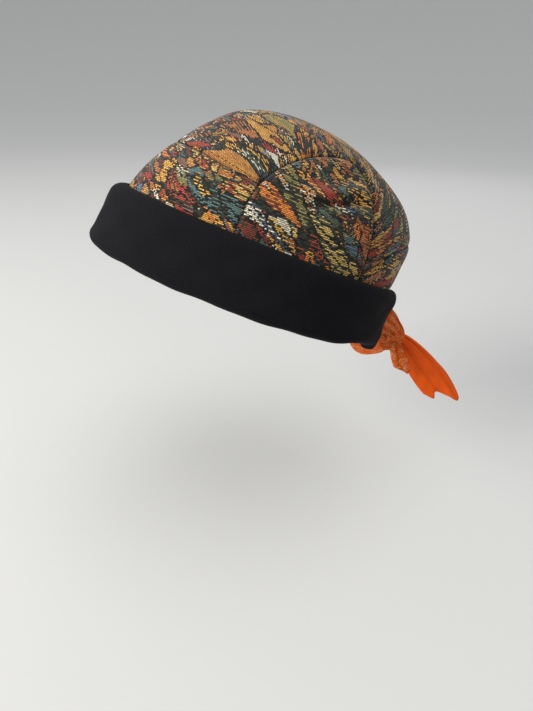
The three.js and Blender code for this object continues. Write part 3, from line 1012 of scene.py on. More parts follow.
@dataclass
class CrownSeams:
    """Seam lines between the five panels.

    Attributes:
        form: The dome.
    """

    form: CrownForm

    # Places in the side view: shares of the half length and of the rise
    ARCH = (
        (-0.375, -0.2), (-0.37, 0.1), (-0.36, 0.36), (-0.32, 0.53), (-0.21, 0.665),
        (-0.05, 0.77), (0.11, 0.825), (0.24, 0.84), (0.35, 0.78), (0.44, 0.63),
        (0.49, 0.4), (0.505, 0.15), (0.505, -0.2),
    )
    FRONT = ((-0.2, 0.5), (-0.35, 0.535), (-0.66, 0.59), (-1.2, 0.66))
    BACK = ((0.35, 0.12), (0.51, 0.31), (0.61, 0.405), (0.72, 0.49), (1.04, 0.595), (1.3, 0.64))

    def __post_init__(self) -> None:
        """Work out the seams, their crossings and the rim between them."""
        arch, front, back = (self.side_view(rows) for rows in (self.ARCH, self.FRONT, self.BACK))
        arch = arch[arch[:, 1] >= self.form.foot]
        over_front = arch[:, 1] > np.interp(-arch[:, 0], -front[:, 0], front[:, 1])
        over_back = arch[:, 1] > np.interp(arch[:, 0], back[:, 0], back[:, 1])
        first, last = int(np.argmax(over_front)), int(np.nonzero(over_back)[0][-1])
        whole = self.form.lifted(arch)
        self.left_front = whole[: first + 1]
        self.left_over = whole[first : last + 1]
        self.left_back = whole[last:]
        self.front = self.across(whole[first], front[front[:, 0] < arch[first, 0]])
        self.back = self.across(whole[last], back[back[:, 0] > arch[last, 0]])

    def side_view(self, rows: tuple) -> np.ndarray:
        """Close points of a seam in the side view, in millimetres.

        Args:
            rows: Seam rows.

        Returns:
            Places along the hat and heights.
        """
        line = closely(rows, 4000)
        scale = np.array([self.form.half_length, self.form.rise])
        return line * scale + np.array([0.0, self.form.foot])

    def across(self, start: np.ndarray, side_view: np.ndarray) -> np.ndarray:
        """A seam from the left arch over the middle to the right arch."""
        half = np.vstack([start, self.form.lifted(side_view)])
        return np.vstack([half, self.form.mirrored(half)[::-1]])

    def bearing(self, point: np.ndarray) -> float:
        """Bearing of a point on the rim."""
        return math.degrees(math.atan2(point[0] / self.form.half_width,
                                       -point[1] / self.form.half_length))

    def rim(self, start: float, end: float) -> Line:
        """The lower edge between two bearings."""
        bearings = np.linspace(start, end, 600)
        return Line(self.form.at(bearings, np.full(600, self.form.foot)))

    def all_lines(self) -> list[Line]:
        """Every seam once."""
        arch = np.vstack([self.left_front, self.left_over[1:], self.left_back[1:]])
        return [Line(points) for points in (arch, self.form.mirrored(arch), self.front, self.back)]


@dataclass(frozen=True)
class Patch:
    """A four-sided piece of cloth between four lines.

    Attributes:
        low: Lower line, from the start to the end.
        high: Upper line, from the start to the end.
        start: Line from low to high at the start.
        end: Line from low to high at the end.
    """

    low: Line
    high: Line
    start: Line
    end: Line

    def at(self, s: np.ndarray, t: np.ndarray) -> np.ndarray:
        """Points at shares across and up the patch.

        Args:
            s: Shares from the start to the end.
            t: Shares from low to high.

        Returns:
            One point for each pair.
        """
        across, up = s[:, None], t[:, None]
        corners = [line.at(np.array([share]))[0] for line in (self.low, self.high)
                   for share in (0.0, 1.0)]
        ruled = mix(self.low.at(s), self.high.at(s), up) + mix(self.start.at(t), self.end.at(t), across)
        low = mix(corners[0], corners[1], across)
        high = mix(corners[2], corners[3], across)
        return ruled - mix(low, high, up)


@dataclass(frozen=True)
class SeamRelief:
    """Shape of the cloth beside a seam, in millimetres.

    Attributes:
        groove: Depth of the seam.
        groove_reach: Half width of the seam's groove.
        puff: Height of the soft rise beside it.
        puff_near: Distance at which the rise starts.
        puff_far: Distance at which it has gone.
        stitch_away: Distance of the topstitching from the seam.
        stitch_depth: Depth that the topstitching pulls in.
        stitch_reach: Half width of the topstitching's groove.
        pucker: Height of the puckers.
        pucker_length: Distance between two puckers.
        pucker_reach: How far the puckers run from the seam.
    """

    groove: float = 0.8
    groove_reach: float = 0.9
    puff: float = 0.4
    puff_near: float = 1.0
    puff_far: float = 13.0
    stitch_away: float = 3.0
    stitch_depth: float = 0.4
    stitch_reach: float = 0.55
    pucker: float = 0.2
    pucker_length: float = 9.0
    pucker_reach: float = 8.0

    def offset(self, away: np.ndarray, along: np.ndarray) -> np.ndarray:
        """How far the cloth stands out at distances from the seam.

        Args:
            away: Distance from the seam.
            along: Distance along the seam.

        Returns:
            Millimetres outwards.
        """
        seam = -self.groove * np.exp(-((away / self.groove_reach) ** 2))
        rise = self.puff * smooth(0, self.puff_near * 4, away)
        rise *= 1 - smooth(self.puff_near * 4, self.puff_far, away)
        row = -self.stitch_depth * np.exp(-(((away - self.stitch_away) / self.stitch_reach) ** 2))
        wave = np.sin(along * 2 * math.pi / self.pucker_length + 1.3 * np.sin(along / 17.0))
        pucker = self.pucker * wave * smooth(0, 1.5, away) * np.exp(-away / self.pucker_reach)
        return seam + rise + row + pucker


@dataclass(frozen=True)
class Crease:
    """A soft fold across a side panel.

    Attributes:
        rows: Places in the side view: shares of the half length and of the rise.
        side: 1 for the wearer's left and -1 for the right.
        depth: Millimetres that the fold sinks.
        reach: Half width of the fold.
        roll: Millimetres that the cloth above it stands out.
    """

    rows: tuple[tuple[float, float], ...]
    side: float
    depth: float
    reach: float
    roll: float

    def offset(self, form: CrownForm, points: np.ndarray) -> np.ndarray:
        """How far the fold moves points of the dome outwards.

        Args:
            form: The dome.
            points: Points on the dome.

        Returns:
            Millimetres outwards.
        """
        line = closely(self.rows, 60)
        line = line * np.array([form.half_length, form.rise]) + np.array([0.0, form.foot])
        place, up = points[:, 1], points[:, 2] - np.interp(points[:, 1], line[:, 0], line[:, 1])
        ends = smooth(line[0, 0] - 8, line[0, 0] + 9, place)
        ends *= 1 - smooth(line[-1, 0] - 9, line[-1, 0] + 8, place)
        here = ends * smooth(20, 40, points[:, 0] * self.side)
        sunk = -self.depth * np.exp(-((up / self.reach) ** 2))
        over = self.roll * np.exp(-(((up - 2.2 * self.reach) / (1.6 * self.reach)) ** 2))
        return here * (sunk + over)


@dataclass
class Crown:
    """Five sewn tapestry panels with topstitched seams.

    Attributes:
        form: The dome that the panels lie on.
        cloth: Thickness of the cloth.
        cell: Size of a face.
        relief: Shape of the cloth beside the seams.
        stitch: Length of a stitch.
        stitch_gap: Distance from one stitch to the next.
        thread: Thickness of the sewing thread.
        undulation: Height of the soft unevenness of the whole dome.
        seam_step: Distance between the seam points that distances are measured from.
        round_radius: Radius that the front and back panels' cloth is unrolled at.
        top_radii: Radii that the top panel's cloth is unrolled at, across and along the hat.
    """

    form: CrownForm = field(default_factory=CrownForm)
    cloth: float = 1.6
    cell: float = 1.3
    relief: SeamRelief = SeamRelief()
    stitch: float = 2.3
    stitch_gap: float = 3.1
    thread: float = 0.42
    undulation: float = 0.7
    seam_step: float = 0.8
    round_radius: float = 88.0
    top_radii: tuple[float, float] = (90.0, 92.0)

    CREASES = (
        Crease(((-0.07, 0.535), (0.04, 0.565), (0.17, 0.605), (0.31, 0.66), (0.4, 0.655)),
               1.0, 2.9, 2.7, 2.2),
        Crease(((-0.2, 0.36), (0.0, 0.33), (0.2, 0.37)), 1.0, 0.7, 5.0, 0.4),
        Crease(((-0.15, 0.5), (0.1, 0.56), (0.33, 0.55)), -1.0, 1.4, 3.4, 1.0),
    )

    # Where each panel's cloth starts, along and across the weft ribs
    CLOTH_STARTS = {
        "front": (0.0, 37.0), "left": (300.0, 211.0), "right": (300.0, 211.0),
        "back": (1100.0, 37.0), "top": (700.0, 0.0),
    }

    def __post_init__(self) -> None:
        """Lay out the seams and a search tree over their points."""
        self.seams = CrownSeams(self.form)
        lines = [line.samples(self.seam_step) for line in self.seams.all_lines()]
        self.seam_points = np.vstack(lines)
        self.seam_along = np.concatenate([np.arange(len(line)) * self.seam_step for line in lines])
        self.tree = KDTree(len(self.seam_points))
        for index, point in enumerate(self.seam_points):
            self.tree.insert(Vector(point), index)
        self.tree.balance()

    def seam_distance(self, points: np.ndarray) -> tuple[np.ndarray, np.ndarray]:
        """Distance from the nearest seam and place along it.

        Args:
            points: Points on the dome.

        Returns:
            Distances and places along the seam.
        """
        found = [self.tree.find(Vector(point)) for point in points]
        away = np.array([distance for _, _, distance in found])
        along = self.seam_along[[index for _, index, _ in found]]
        return away, along

    def dressed(self, points: np.ndarray) -> tuple[np.ndarray, np.ndarray]:
        """Give points on the dome the form of sewn cloth.

        Args:
            points: Points on the dome.

        Returns:
            The shaped points and their distances from the nearest seam.
        """
        away, along = self.seam_distance(points)
        out = self.relief.offset(away, along)
        x, y, z = points.T
        soft = np.sin(x / 19 + y / 31 + 0.7) * np.sin(y / 23 - z / 17) + 0.6 * np.sin(z / 13 + x / 27)
        out = out + self.undulation * soft * smooth(2, 16, away) * smooth(45, 60, z)
        for crease in self.CREASES:
            out = out + crease.offset(self.form, points)
        return points + self.form.normals(points) * out[:, None], away

    def patches(self) -> dict[str, Patch]:
        """The four lines of every panel."""
        seams, mirrored = self.seams, self.form.mirrored
        front, back = seams.bearing(seams.left_front[0]), seams.bearing(seams.left_back[-1])
        left_front, left_back = Line(seams.left_front), Line(seams.left_back[::-1])
        right_front, right_back = Line(mirrored(seams.left_front)), Line(mirrored(seams.left_back[::-1]))
        over, other_over = Line(seams.left_over), Line(mirrored(seams.left_over))
        return {
            "front": Patch(seams.rim(front, -front), Line(seams.front), left_front, right_front),
            "left": Patch(seams.rim(front, back), over, left_front, left_back),
            "right": Patch(seams.rim(-front, -back), other_over, right_front, right_back),
            "back": Patch(seams.rim(back, 360 - back), Line(seams.back), left_back, right_back),
            "top": Patch(over, other_over, Line(seams.front), Line(seams.back)),
        }

    def cloth_places(self, points: np.ndarray, panel: str) -> np.ndarray:
        """Where points of a panel lie on the flat cloth.

        Args:
            points: Points on the dome.
            panel: Name of the panel.

        Returns:
            Millimetres along and across the weft ribs.
        """
        x, y, z = points.T
        heights = np.linspace(self.form.foot, self.form.foot + self.form.rise, 400)
        middle, reach, half = self.form.shares(heights)
        outlines = {"front": middle - reach, "back": middle + reach, "left": half, "right": half}
        start = np.array(self.CLOTH_STARTS[panel])
        if panel == "top":
            _, back, up = self.form.heart
            across, along = self.top_radii
            slope = np.arctan2(z - up, y - back)
            return np.column_stack([np.arcsin(np.clip(x / across, -1, 1)) * across, slope * along]) + start
        profile = outlines[panel]
        steps = np.hypot(np.diff(profile), np.diff(heights))
        up = np.interp(z, heights, np.concatenate([[0.0], np.cumsum(steps)]))
        if panel in ("left", "right"):
            return np.column_stack([y, up]) + start
        ahead = -1 if panel == "front" else 1
        middle_here = np.interp(z, heights, middle)
        round_it = np.arctan2(x, ahead * (y - middle_here)) * self.round_radius
        return np.column_stack([round_it, up]) + start

    def panel(self, name: str, patch: Patch, materials: list[bpy.types.Material]) -> bpy.types.Object:
        """Make one panel.

        Args:
            name: front, back, left, right or top.
            patch: Its four lines.
            materials: Face and reverse of the cloth.

        Returns:
            The piece.
        """
        columns = round(max(patch.low.length, patch.high.length) / self.cell)
        rows = round(max(patch.start.length, patch.end.length) / self.cell)
        distances = []

        def shape(s: np.ndarray, t: np.ndarray) -> tuple[np.ndarray, np.ndarray]:
            """Place the panel's points on the dressed dome."""
            on_dome = self.form.projected(patch.at(s, t))
            points, away = self.dressed(on_dome)
            distances.extend(away)
            return points, self.cloth_places(on_dome, name)

        mesh = shaped_grid(columns, rows, shape)
        seam = mesh.verts.layers.float.new(SEAM_ATTRIBUTE)
        for vert, away in zip(mesh.verts, distances):
            vert[seam] = away
        face_away(mesh, np.array(self.form.heart))
        area = sum(face.calc_area() for face in mesh.faces) / MM**2
        width = max(patch.low.length, patch.high.length)
        flat = (width, max(patch.start.length, patch.end.length, area / width))
        sheet = Sheet(flat, Hold.STRETCHED, ("turned_up_cuff",), min(area / (flat[0] * flat[1]), 1.0))
        node = {"left": "crown_side_left", "right": "crown_side_right"}.get(name, f"crown_{name}")
        piece = add_piece(mesh, f"{name}_panel", materials, Slot.TAPESTRY, node, sheet)
        thicken(piece, self.cloth, -1, 1)
        return piece

    def stitches(self, material: bpy.types.Material) -> bpy.types.Object:
        """Make the rows of topstitching on both sides of every seam.

        Args:
            material: Thread.

        Returns:
            The piece.
        """
        mesh = bmesh.new()
        for line in self.seams.all_lines():
            count = int(line.length / self.stitch_gap)
            shares = (np.arange(count) + 0.5) / count
            on_seam = self.form.projected(line.at(shares))
            along = unit(line.at(shares + 0.004) - line.at(shares - 0.004))
            out = self.form.normals(on_seam)
            side = unit(np.cross(out, along))
            for way in (-1, 1):
                beside = self.form.projected(on_seam + side * self.relief.stitch_away * way)
                shaped, away = self.dressed(beside)
                clear = away > self.relief.stitch_away - 0.5
                for point, forward, up in zip(shaped[clear], along[clear], out[clear]):
                    self.add_stitch(mesh, point + up * self.thread * 0.25, forward, up)
        mesh.normal_update()
        return add_piece(mesh, "topstitching", [material], Slot.COTTON, None, None)

    def add_stitch(self, mesh: bmesh.types.BMesh, point: np.ndarray, forward: np.ndarray,
                   up: np.ndarray) -> None:
        """Add one small rounded stitch.

        Args:
            mesh: Mesh of all stitches.
            point: Middle of the stitch, in the hat's own frame.
            forward: Direction along the seam.
            up: Direction out of the cloth.
        """
        ends = WEARING.placed(np.array([point, forward, up]))
        x = Vector(ends[1]).normalized()
        z = Vector(ends[2]).normalized()
        y = z.cross(x).normalized()
        turn = Matrix((x, y, x.cross(y))).transposed().to_4x4()
        size = Matrix.Diagonal((self.stitch / 2 * MM, self.thread / 2 * MM, self.thread / 2 * MM, 1))
        place = Matrix.Translation(Vector(ends[0])) @ turn @ size
        bmesh.ops.create_icosphere(mesh, subdivisions=1, radius=1.0, matrix=place)

    def build(self, face: bpy.types.Material, reverse: bpy.types.Material,
              thread: bpy.types.Material) -> list[bpy.types.Object]:
        """Make the whole crown."""
        pieces = [self.panel(name, patch, [face, reverse]) for name, patch in self.patches().items()]
        return [*pieces, self.stitches(thread)]


# Cuff


@dataclass
class Cuff:
    """Turned-up band of doubled cotton, open at the back.

    Attributes:
        form: The dome that it goes round.
        height: Height of the cuff.
        cloth: Thickness of the doubled cloth.
        stand_front: How far it stands off the crown at the front.
        stand_side: The same at the sides.
        stand_back: The same at the back.
        opening: Length of rim that it leaves open.
        corner: Radius of the ends' corners.
        fit_gap: Clearance from the crown.
        columns: Faces round the hat.
        rows: Faces over the section.
        wave: Height of the lower edge's soft waves.
        dent: Depth of the face's soft dents.
        hem_height: Height of the hem line over the rim plane.
        hem_reach: Half width of the hem line.
        hem_depth: Depth of the hem line.
        end_droop: How far the lower edge hangs down at the ends.
        end_lift: How far it rises before them.
        lift_place: Distance of that rise from the end.
        lift_reach: Half width of that rise.
        droop_start: Distance from the end at which the droop starts to go.
        droop_end: Distance from the end at which it has gone.
        edge_radius: Radius of the cloth's soft edge.
        edge_angle: Degrees of turn from which an edge is softened.
        cut_length: Length given for the cloth's cut, between its two ends.
    """

    form: CrownForm
    height: float = 40.5
    cloth: float = 2.2
    stand_front: float = 12.5
    stand_side: float = 7.4
    stand_back: float = 8.4
    opening: float = 58.0
    corner: float = 8.0
    fit_gap: float = 0.4
    columns: int = 420
    rows: int = 110
    wave: float = 0.35
    dent: float = 0.5
    hem_height: float = 2.6
    hem_reach: float = 0.6
    hem_depth: float = 0.55
    end_droop: float = 6.4
    end_lift: float = 2.6
    lift_place: float = 42.0
    lift_reach: float = 24.0
    droop_start: float = 4.0
    droop_end: float = 16.0
    edge_radius: float = 0.7
    edge_angle: float = 55.0
    cut_length: float = 530.0

    # Rise, way out at the sides, way out at the front, and how far the ends' corners draw back
    SECTION = (
        (-0.03, 0.2, 0.2, 1.0),
        (-0.02, 0.55, 0.58, 0.95),
        (0.02, 0.88, 0.92, 0.75),
        (0.08, 1.0, 1.0, 0.45),
        (0.2, 0.97, 0.9, 0.2),
        (0.4, 0.89, 0.76, 0.0),
        (0.6, 0.88, 0.69, 0.0),
        (0.76, 0.93, 0.66, 0.1),
        (0.87, 0.93, 0.6, 0.3),
        (0.95, 0.77, 0.46, 0.6),
        (0.99, 0.45, 0.25, 0.85),
        (1.0, 0.0, 0.0, 1.0),
    )
    LEG_ROWS = 2

    def __post_init__(self) -> None:
        """Find how the section's length is shared out over its rows."""
        places = np.linspace(0, len(self.SECTION) + self.LEG_ROWS - 1, 500)
        out, up, _ = self.section(np.full(500, 90.0), places)
        steps = np.hypot(np.diff(out), np.diff(up))
        walked = np.concatenate([[0.0], np.cumsum(steps)])
        self.section_length = float(walked[-1])
        self.walked = walked / walked[-1]
        self.places = places
        bearings = np.linspace(180, 90, 721)
        turn = np.radians(bearings)
        width = self.form.half_width + self.stand_side
        reach = self.form.half_length + self.stand_back
        pace = np.hypot(width * np.cos(turn), reach * np.sin(turn)) * math.radians(90 / 720)
        self.back_bearings = bearings
        self.back_walked = np.cumsum(pace) - pace[0]

    def bearing_from_back(self, distance: np.ndarray) -> np.ndarray:
        """Bearing at a distance along the rim from the middle of the back."""
        return np.interp(distance, self.back_walked, self.back_bearings)

    def frame(self, bearing: np.ndarray) -> tuple[np.ndarray, np.ndarray]:
        """The crown's lower edge and the way out from it, both seen from above.

        Args:
            bearing: Degrees from the front.

        Returns:
            Points and directions.
        """
        foot = np.full(len(bearing), self.form.foot)
        base = self.form.at(bearing, foot)[:, :2]
        ahead = self.form.at(bearing + 1, foot)[:, :2] - self.form.at(bearing - 1, foot)[:, :2]
        out = unit(np.stack([-ahead[:, 1], ahead[:, 0]], -1))
        return base, out * np.sign((out * base).sum(-1, keepdims=True))

    def crown_out(self, bearing: np.ndarray, height: np.ndarray) -> np.ndarray:
        """How far out the crown reaches at a height.

        Args:
            bearing: Degrees from the front.
            height: Height over the rim plane.

        Returns:
            Millimetres out from the crown's lower edge.
        """
        base, out = self.frame(bearing)
        at_height = self.form.at(bearing, np.maximum(height, self.form.foot))[:, :2]
        return ((at_height - base) * out).sum(-1)

    def outer(self, bearing: np.ndarray) -> np.ndarray:
        """How far out the middle of the cuff's cloth stands at its fullest."""
        along = np.cos(np.radians(bearing))
        end = np.where(along > 0, self.stand_front, self.stand_back)
        stand = mix(self.stand_side, end, along**2)
        heights = (self.height, self.height / 2)
        full = [self.crown_out(bearing, np.full(len(bearing), h)) for h in heights]
        return np.maximum(np.maximum(*full), 0) + stand - self.cloth / 2

    def section(self, bearing: np.ndarray, place: np.ndarray) -> tuple[np.ndarray, ...]:
        """Way out, height and corner share of the cloth's middle.

        Args:
            bearing: Degrees from the front.
            place: Place in the section, from the seam under the crown's edge.

        Returns:
            Millimetres out, height, and the share that corners draw back by.
        """
        table = np.array(self.SECTION)
        rise, side, front, corner = hermite(table, np.maximum(place - self.LEG_ROWS, 0)).T
        ahead = np.maximum(np.cos(np.radians(bearing)), 0) ** 2
        height = rise * self.height
        inner = self.crown_out(bearing, height) + self.fit_gap
        out = mix(inner, self.outer(bearing), mix(side, front, ahead))
        leg = np.clip(place / self.LEG_ROWS, 0, 1)
        fold = leg * leg
        leg_height = mix(self.form.foot - self.fit_gap, table[0, 0] * self.height, leg)
        leg_out = mix(-self.cloth / 3, out, fold)
        on_leg = place < self.LEG_ROWS
        return np.where(on_leg, leg_out, out), np.where(on_leg, leg_height, height), corner

    def shape(self, s: np.ndarray, t: np.ndarray) -> tuple[np.ndarray, np.ndarray]:
        """Place the cuff's points.

        Args:
            s: Shares round the hat.
            t: Shares of the section's length from the seam.

        Returns:
            Hat points and places on the flat cloth.
        """
        place = np.interp(t, self.walked, self.places)
        corner = self.section(np.full(len(s), 90.0), place)[2]
        end = self.bearing_from_back(self.opening / 2 + corner * self.corner)
        bearing = mix(-end, end, s)
        out, up, _ = self.section(bearing, place)
        from_end = (np.abs(end) - np.abs(bearing)) / 180 * math.pi * self.form.half_length
        droop = 1 - smooth(self.droop_start, self.droop_end, from_end + corner * self.corner)
        lift = np.exp(-(((from_end - self.lift_place) / self.lift_reach) ** 2))
        face = smooth(0.25, 0.4, t) * (1 - smooth(0.8, 0.95, t))
        lip = smooth(0.12, 0.2, t) * (1 - smooth(0.3, 0.5, t))
        turn = np.radians(bearing)
        up = up + self.wave * lip * (np.sin(turn * 11 + 1) + 0.5 * np.sin(turn * 23 + t * 3))
        up = up + lip * (self.end_lift * lift - self.end_droop * droop)
        dents = np.sin(turn * 9 + t * 7) * np.sin(t * 9 + turn * 4) + 0.5 * np.sin(turn * 21 - t * 12)
        hem = np.exp(-(((up - self.hem_height) / self.hem_reach) ** 2)) * (t > 0.3) * (t < 0.6)
        out = out + self.dent * face * dents - self.hem_depth * hem
        base, way = self.frame(bearing)
        points = np.column_stack([base + way * out[:, None], up])
        round_it = bearing / 180 * math.pi * (self.form.half_length + self.form.half_width) / 2
        return points, np.column_stack([round_it + 400, t * self.section_length])

    def build(self, material: bpy.types.Material) -> bpy.types.Object:
        """Make the cuff.

        Args:
            material: Black cotton.

        Returns:
            The piece.
        """
        mesh = shaped_grid(self.columns, self.rows, self.shape)
        flat = (self.cut_length, self.section_length)
        sheet = Sheet(flat, Hold.FOLDED, ("front_panel", "left_panel", "right_panel", "back_panel"))
        face_away(mesh, np.array([0.0, 0.0, -4.0 * self.height]))
        piece = add_piece(mesh, "turned_up_cuff", [material], Slot.COTTON, "cuff", sheet)
        thicken(piece, self.cloth, 0)
        edge = piece.modifiers.new("soft_edge", "BEVEL")
        edge.width, edge.segments, edge.limit_method = self.edge_radius * MM, 3, "ANGLE"
        edge.angle_limit = math.radians(self.edge_angle)
        return piece


# Kerchief


@dataclass
class Kerchief:
    """Gathered bands from the cuff's ends, the knot behind the crown and its two tails.

    Attributes:
        cuff: The cuff that the bands come out of.
        width: Width of a gathered band.
        cloth: Thickness of the layered cloth.
        pleat: Depth of the pleats.
        tuck: Length of band inside the cuff.
        slack: How far the bands stand out from the straight way to the knot.
        sag: How far the far band hangs down.
        knot: Size of the knot.
        knot_stand: How far the knot's middle stands behind the cuff.
        knot_aside: How far it lies to the wearer's left.
        long_length: Length of the long tail.
        long_width: Width of the long tail.
        short_length: Length of the short tail.
        short_width: Width of the short tail.
        spread: Distance between the tails' roots.
        band_place: Height of the bands' ends in the cuff, as a share of its height.
        knot_place: Height of the knot, as a share of the cuff's.
        neck_width: Width of a band at the knot, as a share of the knot's size.
        neck_bulk: Thickness of a band there, as a share of the knot's size.
        band_faces: Faces round and along a band.
        tail_faces: Faces round and along a tail.
        knot_faces: Faces round and across the knot.
    """

    cuff: Cuff
    width: float = 27.0
    cloth: float = 1.5
    pleat: float = 2.2
    tuck: float = 24.0
    slack: float = 19.0
    sag: float = 24.5
    knot: float = 15.0
    knot_stand: float = 18.5
    knot_aside: float = 23.0
    long_length: float = 81.0
    long_width: float = 28.0
    short_length: float = 27.0
    short_width: float = 12.5
    spread: float = 6.4
    band_place: float = 0.42
    knot_place: float = 0.2
    neck_width: float = 0.62
    neck_bulk: float = 0.34
    band_faces: tuple[int, int] = (72, 110)
    tail_faces: tuple[int, int] = (88, 90)
    knot_faces: tuple[int, int] = (64, 48)

    # Slope below the back direction at the root and the end, drift to the left for each step
    # back, and place beside the knot's middle as a share of the spread
    LONG_FALL = (17.0, 36.0, 0.06, -0.15)
    SHORT_FALL = (52.0, 40.0, 0.1, 0.85)

    # Share of the way to the knot, slack and sag
    NEAR_BAND = ((0.28, 0.17, 0.0), (0.6, 0.08, 0.0))
    FAR_BAND = ((0.18, 0.8, 1.0), (0.45, 0.85, 0.83), (0.72, 0.5, 0.44))

    # Last points of each band from the knot's middle: left, back and up
    NEAR_WRAP = ((5.0, -2.4, -0.5), (3.0, -5.0, -6.0), (-1.0, -10.5, -8.5))
    FAR_WRAP = ((-3.0, -1.5, -0.5),)

    # Share of the length, lower and upper edge as shares of the width
    LONG_TAIL = (
        (0.0, 0.16, 0.18), (0.12, 0.26, 0.25), (0.3, 0.46, 0.3),
        (0.5, 0.56, 0.33), (0.7, 0.57, 0.36), (1.0, 0.46, 0.3),
    )
    SHORT_TAIL = ((0.0, 0.24, 0.24), (0.3, 0.42, 0.42), (0.7, 0.5, 0.5), (1.0, 0.34, 0.34))

    # From the lower edge at -1 to the upper edge at 1: share of the length where the cloth ends
    LONG_END = (
        (-1.0, 0.72), (-0.75, 0.83), (-0.45, 0.77), (-0.1, 0.87), (0.25, 0.95), (0.6, 1.0), (1.0, 0.95),
    )
    SHORT_END = ((-1.0, 0.66), (-0.3, 0.84), (0.3, 1.0), (1.0, 1.04))

    # From the lower edge at -1 to the upper edge at 1: millimetres that the cloth stands out
    LONG_FOLDS = (
        (-1.0, -3.2), (-0.75, -2.0), (-0.45, -1.6), (-0.24, -1.9), (0.1, 1.6), (0.3, 2.4),
        (0.52, 0.9), (0.8, 1.4), (1.0, -1.8),
    )
    SHORT_FOLDS = ((-1.0, -1.0), (-0.6, 0.8), (-0.2, -0.5), (0.25, 0.9), (0.6, -0.3), (1.0, -0.9))

    def knot_middle(self) -> np.ndarray:
        """Middle of the knot."""
        height = self.cuff.height * self.knot_place
        back = self.cuff.form.at(np.array(180.0), np.array(height))[1]
        return np.array([self.knot_aside, back + self.cuff.stand_back + self.knot_stand, height])

    def band_path(self, side: float, rows: tuple, ends: tuple) -> np.ndarray:
        """Middle line of a band from inside the cuff to the knot.

        Args:
            side: 1 for the wearer's left.
            rows: Share, slack and sag of the free stretch.
            ends: Last points, from the knot's middle.

        Returns:
            Points from inside the cuff to the last one at the knot.
        """
        height = self.cuff.height * self.band_place
        distances = np.array([self.tuck, self.tuck / 2, 0.0]) + self.cuff.opening / 2
        bearing = side * self.cuff.bearing_from_back(distances)
        base, way = self.cuff.frame(bearing)
        near = self.cuff.crown_out(bearing, np.full(3, height))
        far = self.cuff.outer(bearing) * 0.92 - self.cuff.cloth / 2
        tucked = np.column_stack([base + way * ((near + far) / 2)[:, None], np.full(3, height)])
        knot = self.knot_middle()
        start, ahead = tucked[-1], knot - tucked[-1]
        free = [start + ahead * share + np.array([0.0, slack * self.slack, -sag * self.sag])
                for share, slack, sag in rows]
        return np.vstack([tucked, free, knot + np.array(ends)])

    def band(self, name: str, side: float, rows: tuple, ends: tuple,
             material: bpy.types.Material) -> bpy.types.Object:
        """Make one gathered band.

        Args:
            name: Name of the piece.
            side: 1 for the wearer's left.
            rows: Share, slack and sag of the free stretch.
            ends: Last points, from the knot's middle.
            material: Printed cotton.

        Returns:
            The piece.
        """
        path = self.band_path(side, rows, ends)
        facing = unit(np.array([0.65 * side + 0.35, 0.65 - 0.35 * side, 0.0]))
        line = Line(closely(path, 600))
        free_share = float(line.shares[int(600 * 2 / (len(path) - 1))])

        def shape(s: np.ndarray, t: np.ndarray) -> tuple[np.ndarray, np.ndarray]:
            """Place the band's section round its path."""
            middle = line.at(t)
            along = unit(line.at(np.minimum(t + 0.01, 1)) - line.at(np.maximum(t - 0.01, 0)))
            out = unit(facing - along * (along @ facing)[:, None])
            rise = unit(np.cross(out, along) * side)
            free = np.clip((t - free_share) / (1 - free_share), 0, 1)
            v = -np.cos(2 * math.pi * s)
            bulge = np.sin(2 * math.pi * s)
            width = mix(self.width, self.knot * self.neck_width, free**1.7)
            bulk = mix(self.cloth, self.knot * self.neck_bulk, free**1.6)
            drift = 0.16 * np.sin(3.1 * t + side) + 0.1 * np.sin(7 * t)
            folds = np.abs(np.sin(math.pi * (2.1 * (v + drift) + 0.4))) ** 0.7
            finer = np.abs(np.sin(math.pi * (4.3 * (v - drift) + 0.2 + t)))
            outer = smooth(-0.2, 0.6, bulge)
            depth = self.pleat * (folds - 0.6) * 1.05 + 0.5 * (finer - 0.5) * smooth(0.0, 0.5, free)
            lift = bulge * bulk / 2 + outer * depth * smooth(0, 0.3, t)
            lift = lift - (1 - outer) * 0.15 * depth
            points = middle + rise * (v * width / 2)[:, None] + out * lift[:, None]
            cloth = np.column_stack([t * line.length, v * self.width * 0.8 + 60 + 90 * (bulge < 0)])
            return points, cloth

        mesh = shaped_grid(*self.band_faces, shape)
        return self.close_tube(mesh, name, material, Slot.PATTERNED,
                               f"tie_{name}", line.length, "turned_up_cuff")

    def close_tube(self, mesh: bmesh.types.BMesh, name: str, material: bpy.types.Material,
                   slot: Slot, node: str, length: float, holder: str) -> bpy.types.Object:
        """Close a rolled grid along its length and at its ends.

        Args:
            mesh: The grid, whose two sides meet.
            name: Name of the piece.
            material: Its cloth.
            slot: Its slot, passed on.
            node: Solid that it stands for.
            length: Length of the rolled cloth, in millimetres.
            holder: Name of the piece that holds it.

        Returns:
            The piece.
        """
        bmesh.ops.remove_doubles(mesh, verts=mesh.verts[:], dist=0.01 * MM)
        bmesh.ops.holes_fill(mesh, edges=[edge for edge in mesh.edges if edge.is_boundary])
        bmesh.ops.recalc_face_normals(mesh, faces=mesh.faces[:])
        folded = sum(face.calc_area() for face in mesh.faces) / MM**2 / 2
        sheet = Sheet((length, folded / length), Hold.GATHERED, (holder,))
        return add_piece(mesh, name, [material], slot, node, sheet)

    def heading(self, root: float, end: float, drift: float, share: np.ndarray) -> np.ndarray:
        """Direction of a tail at shares of its length."""
        slope = np.radians(mix(root, end, share))
        return unit(np.stack([np.full(len(share), drift), np.cos(slope), -np.sin(slope)], -1))

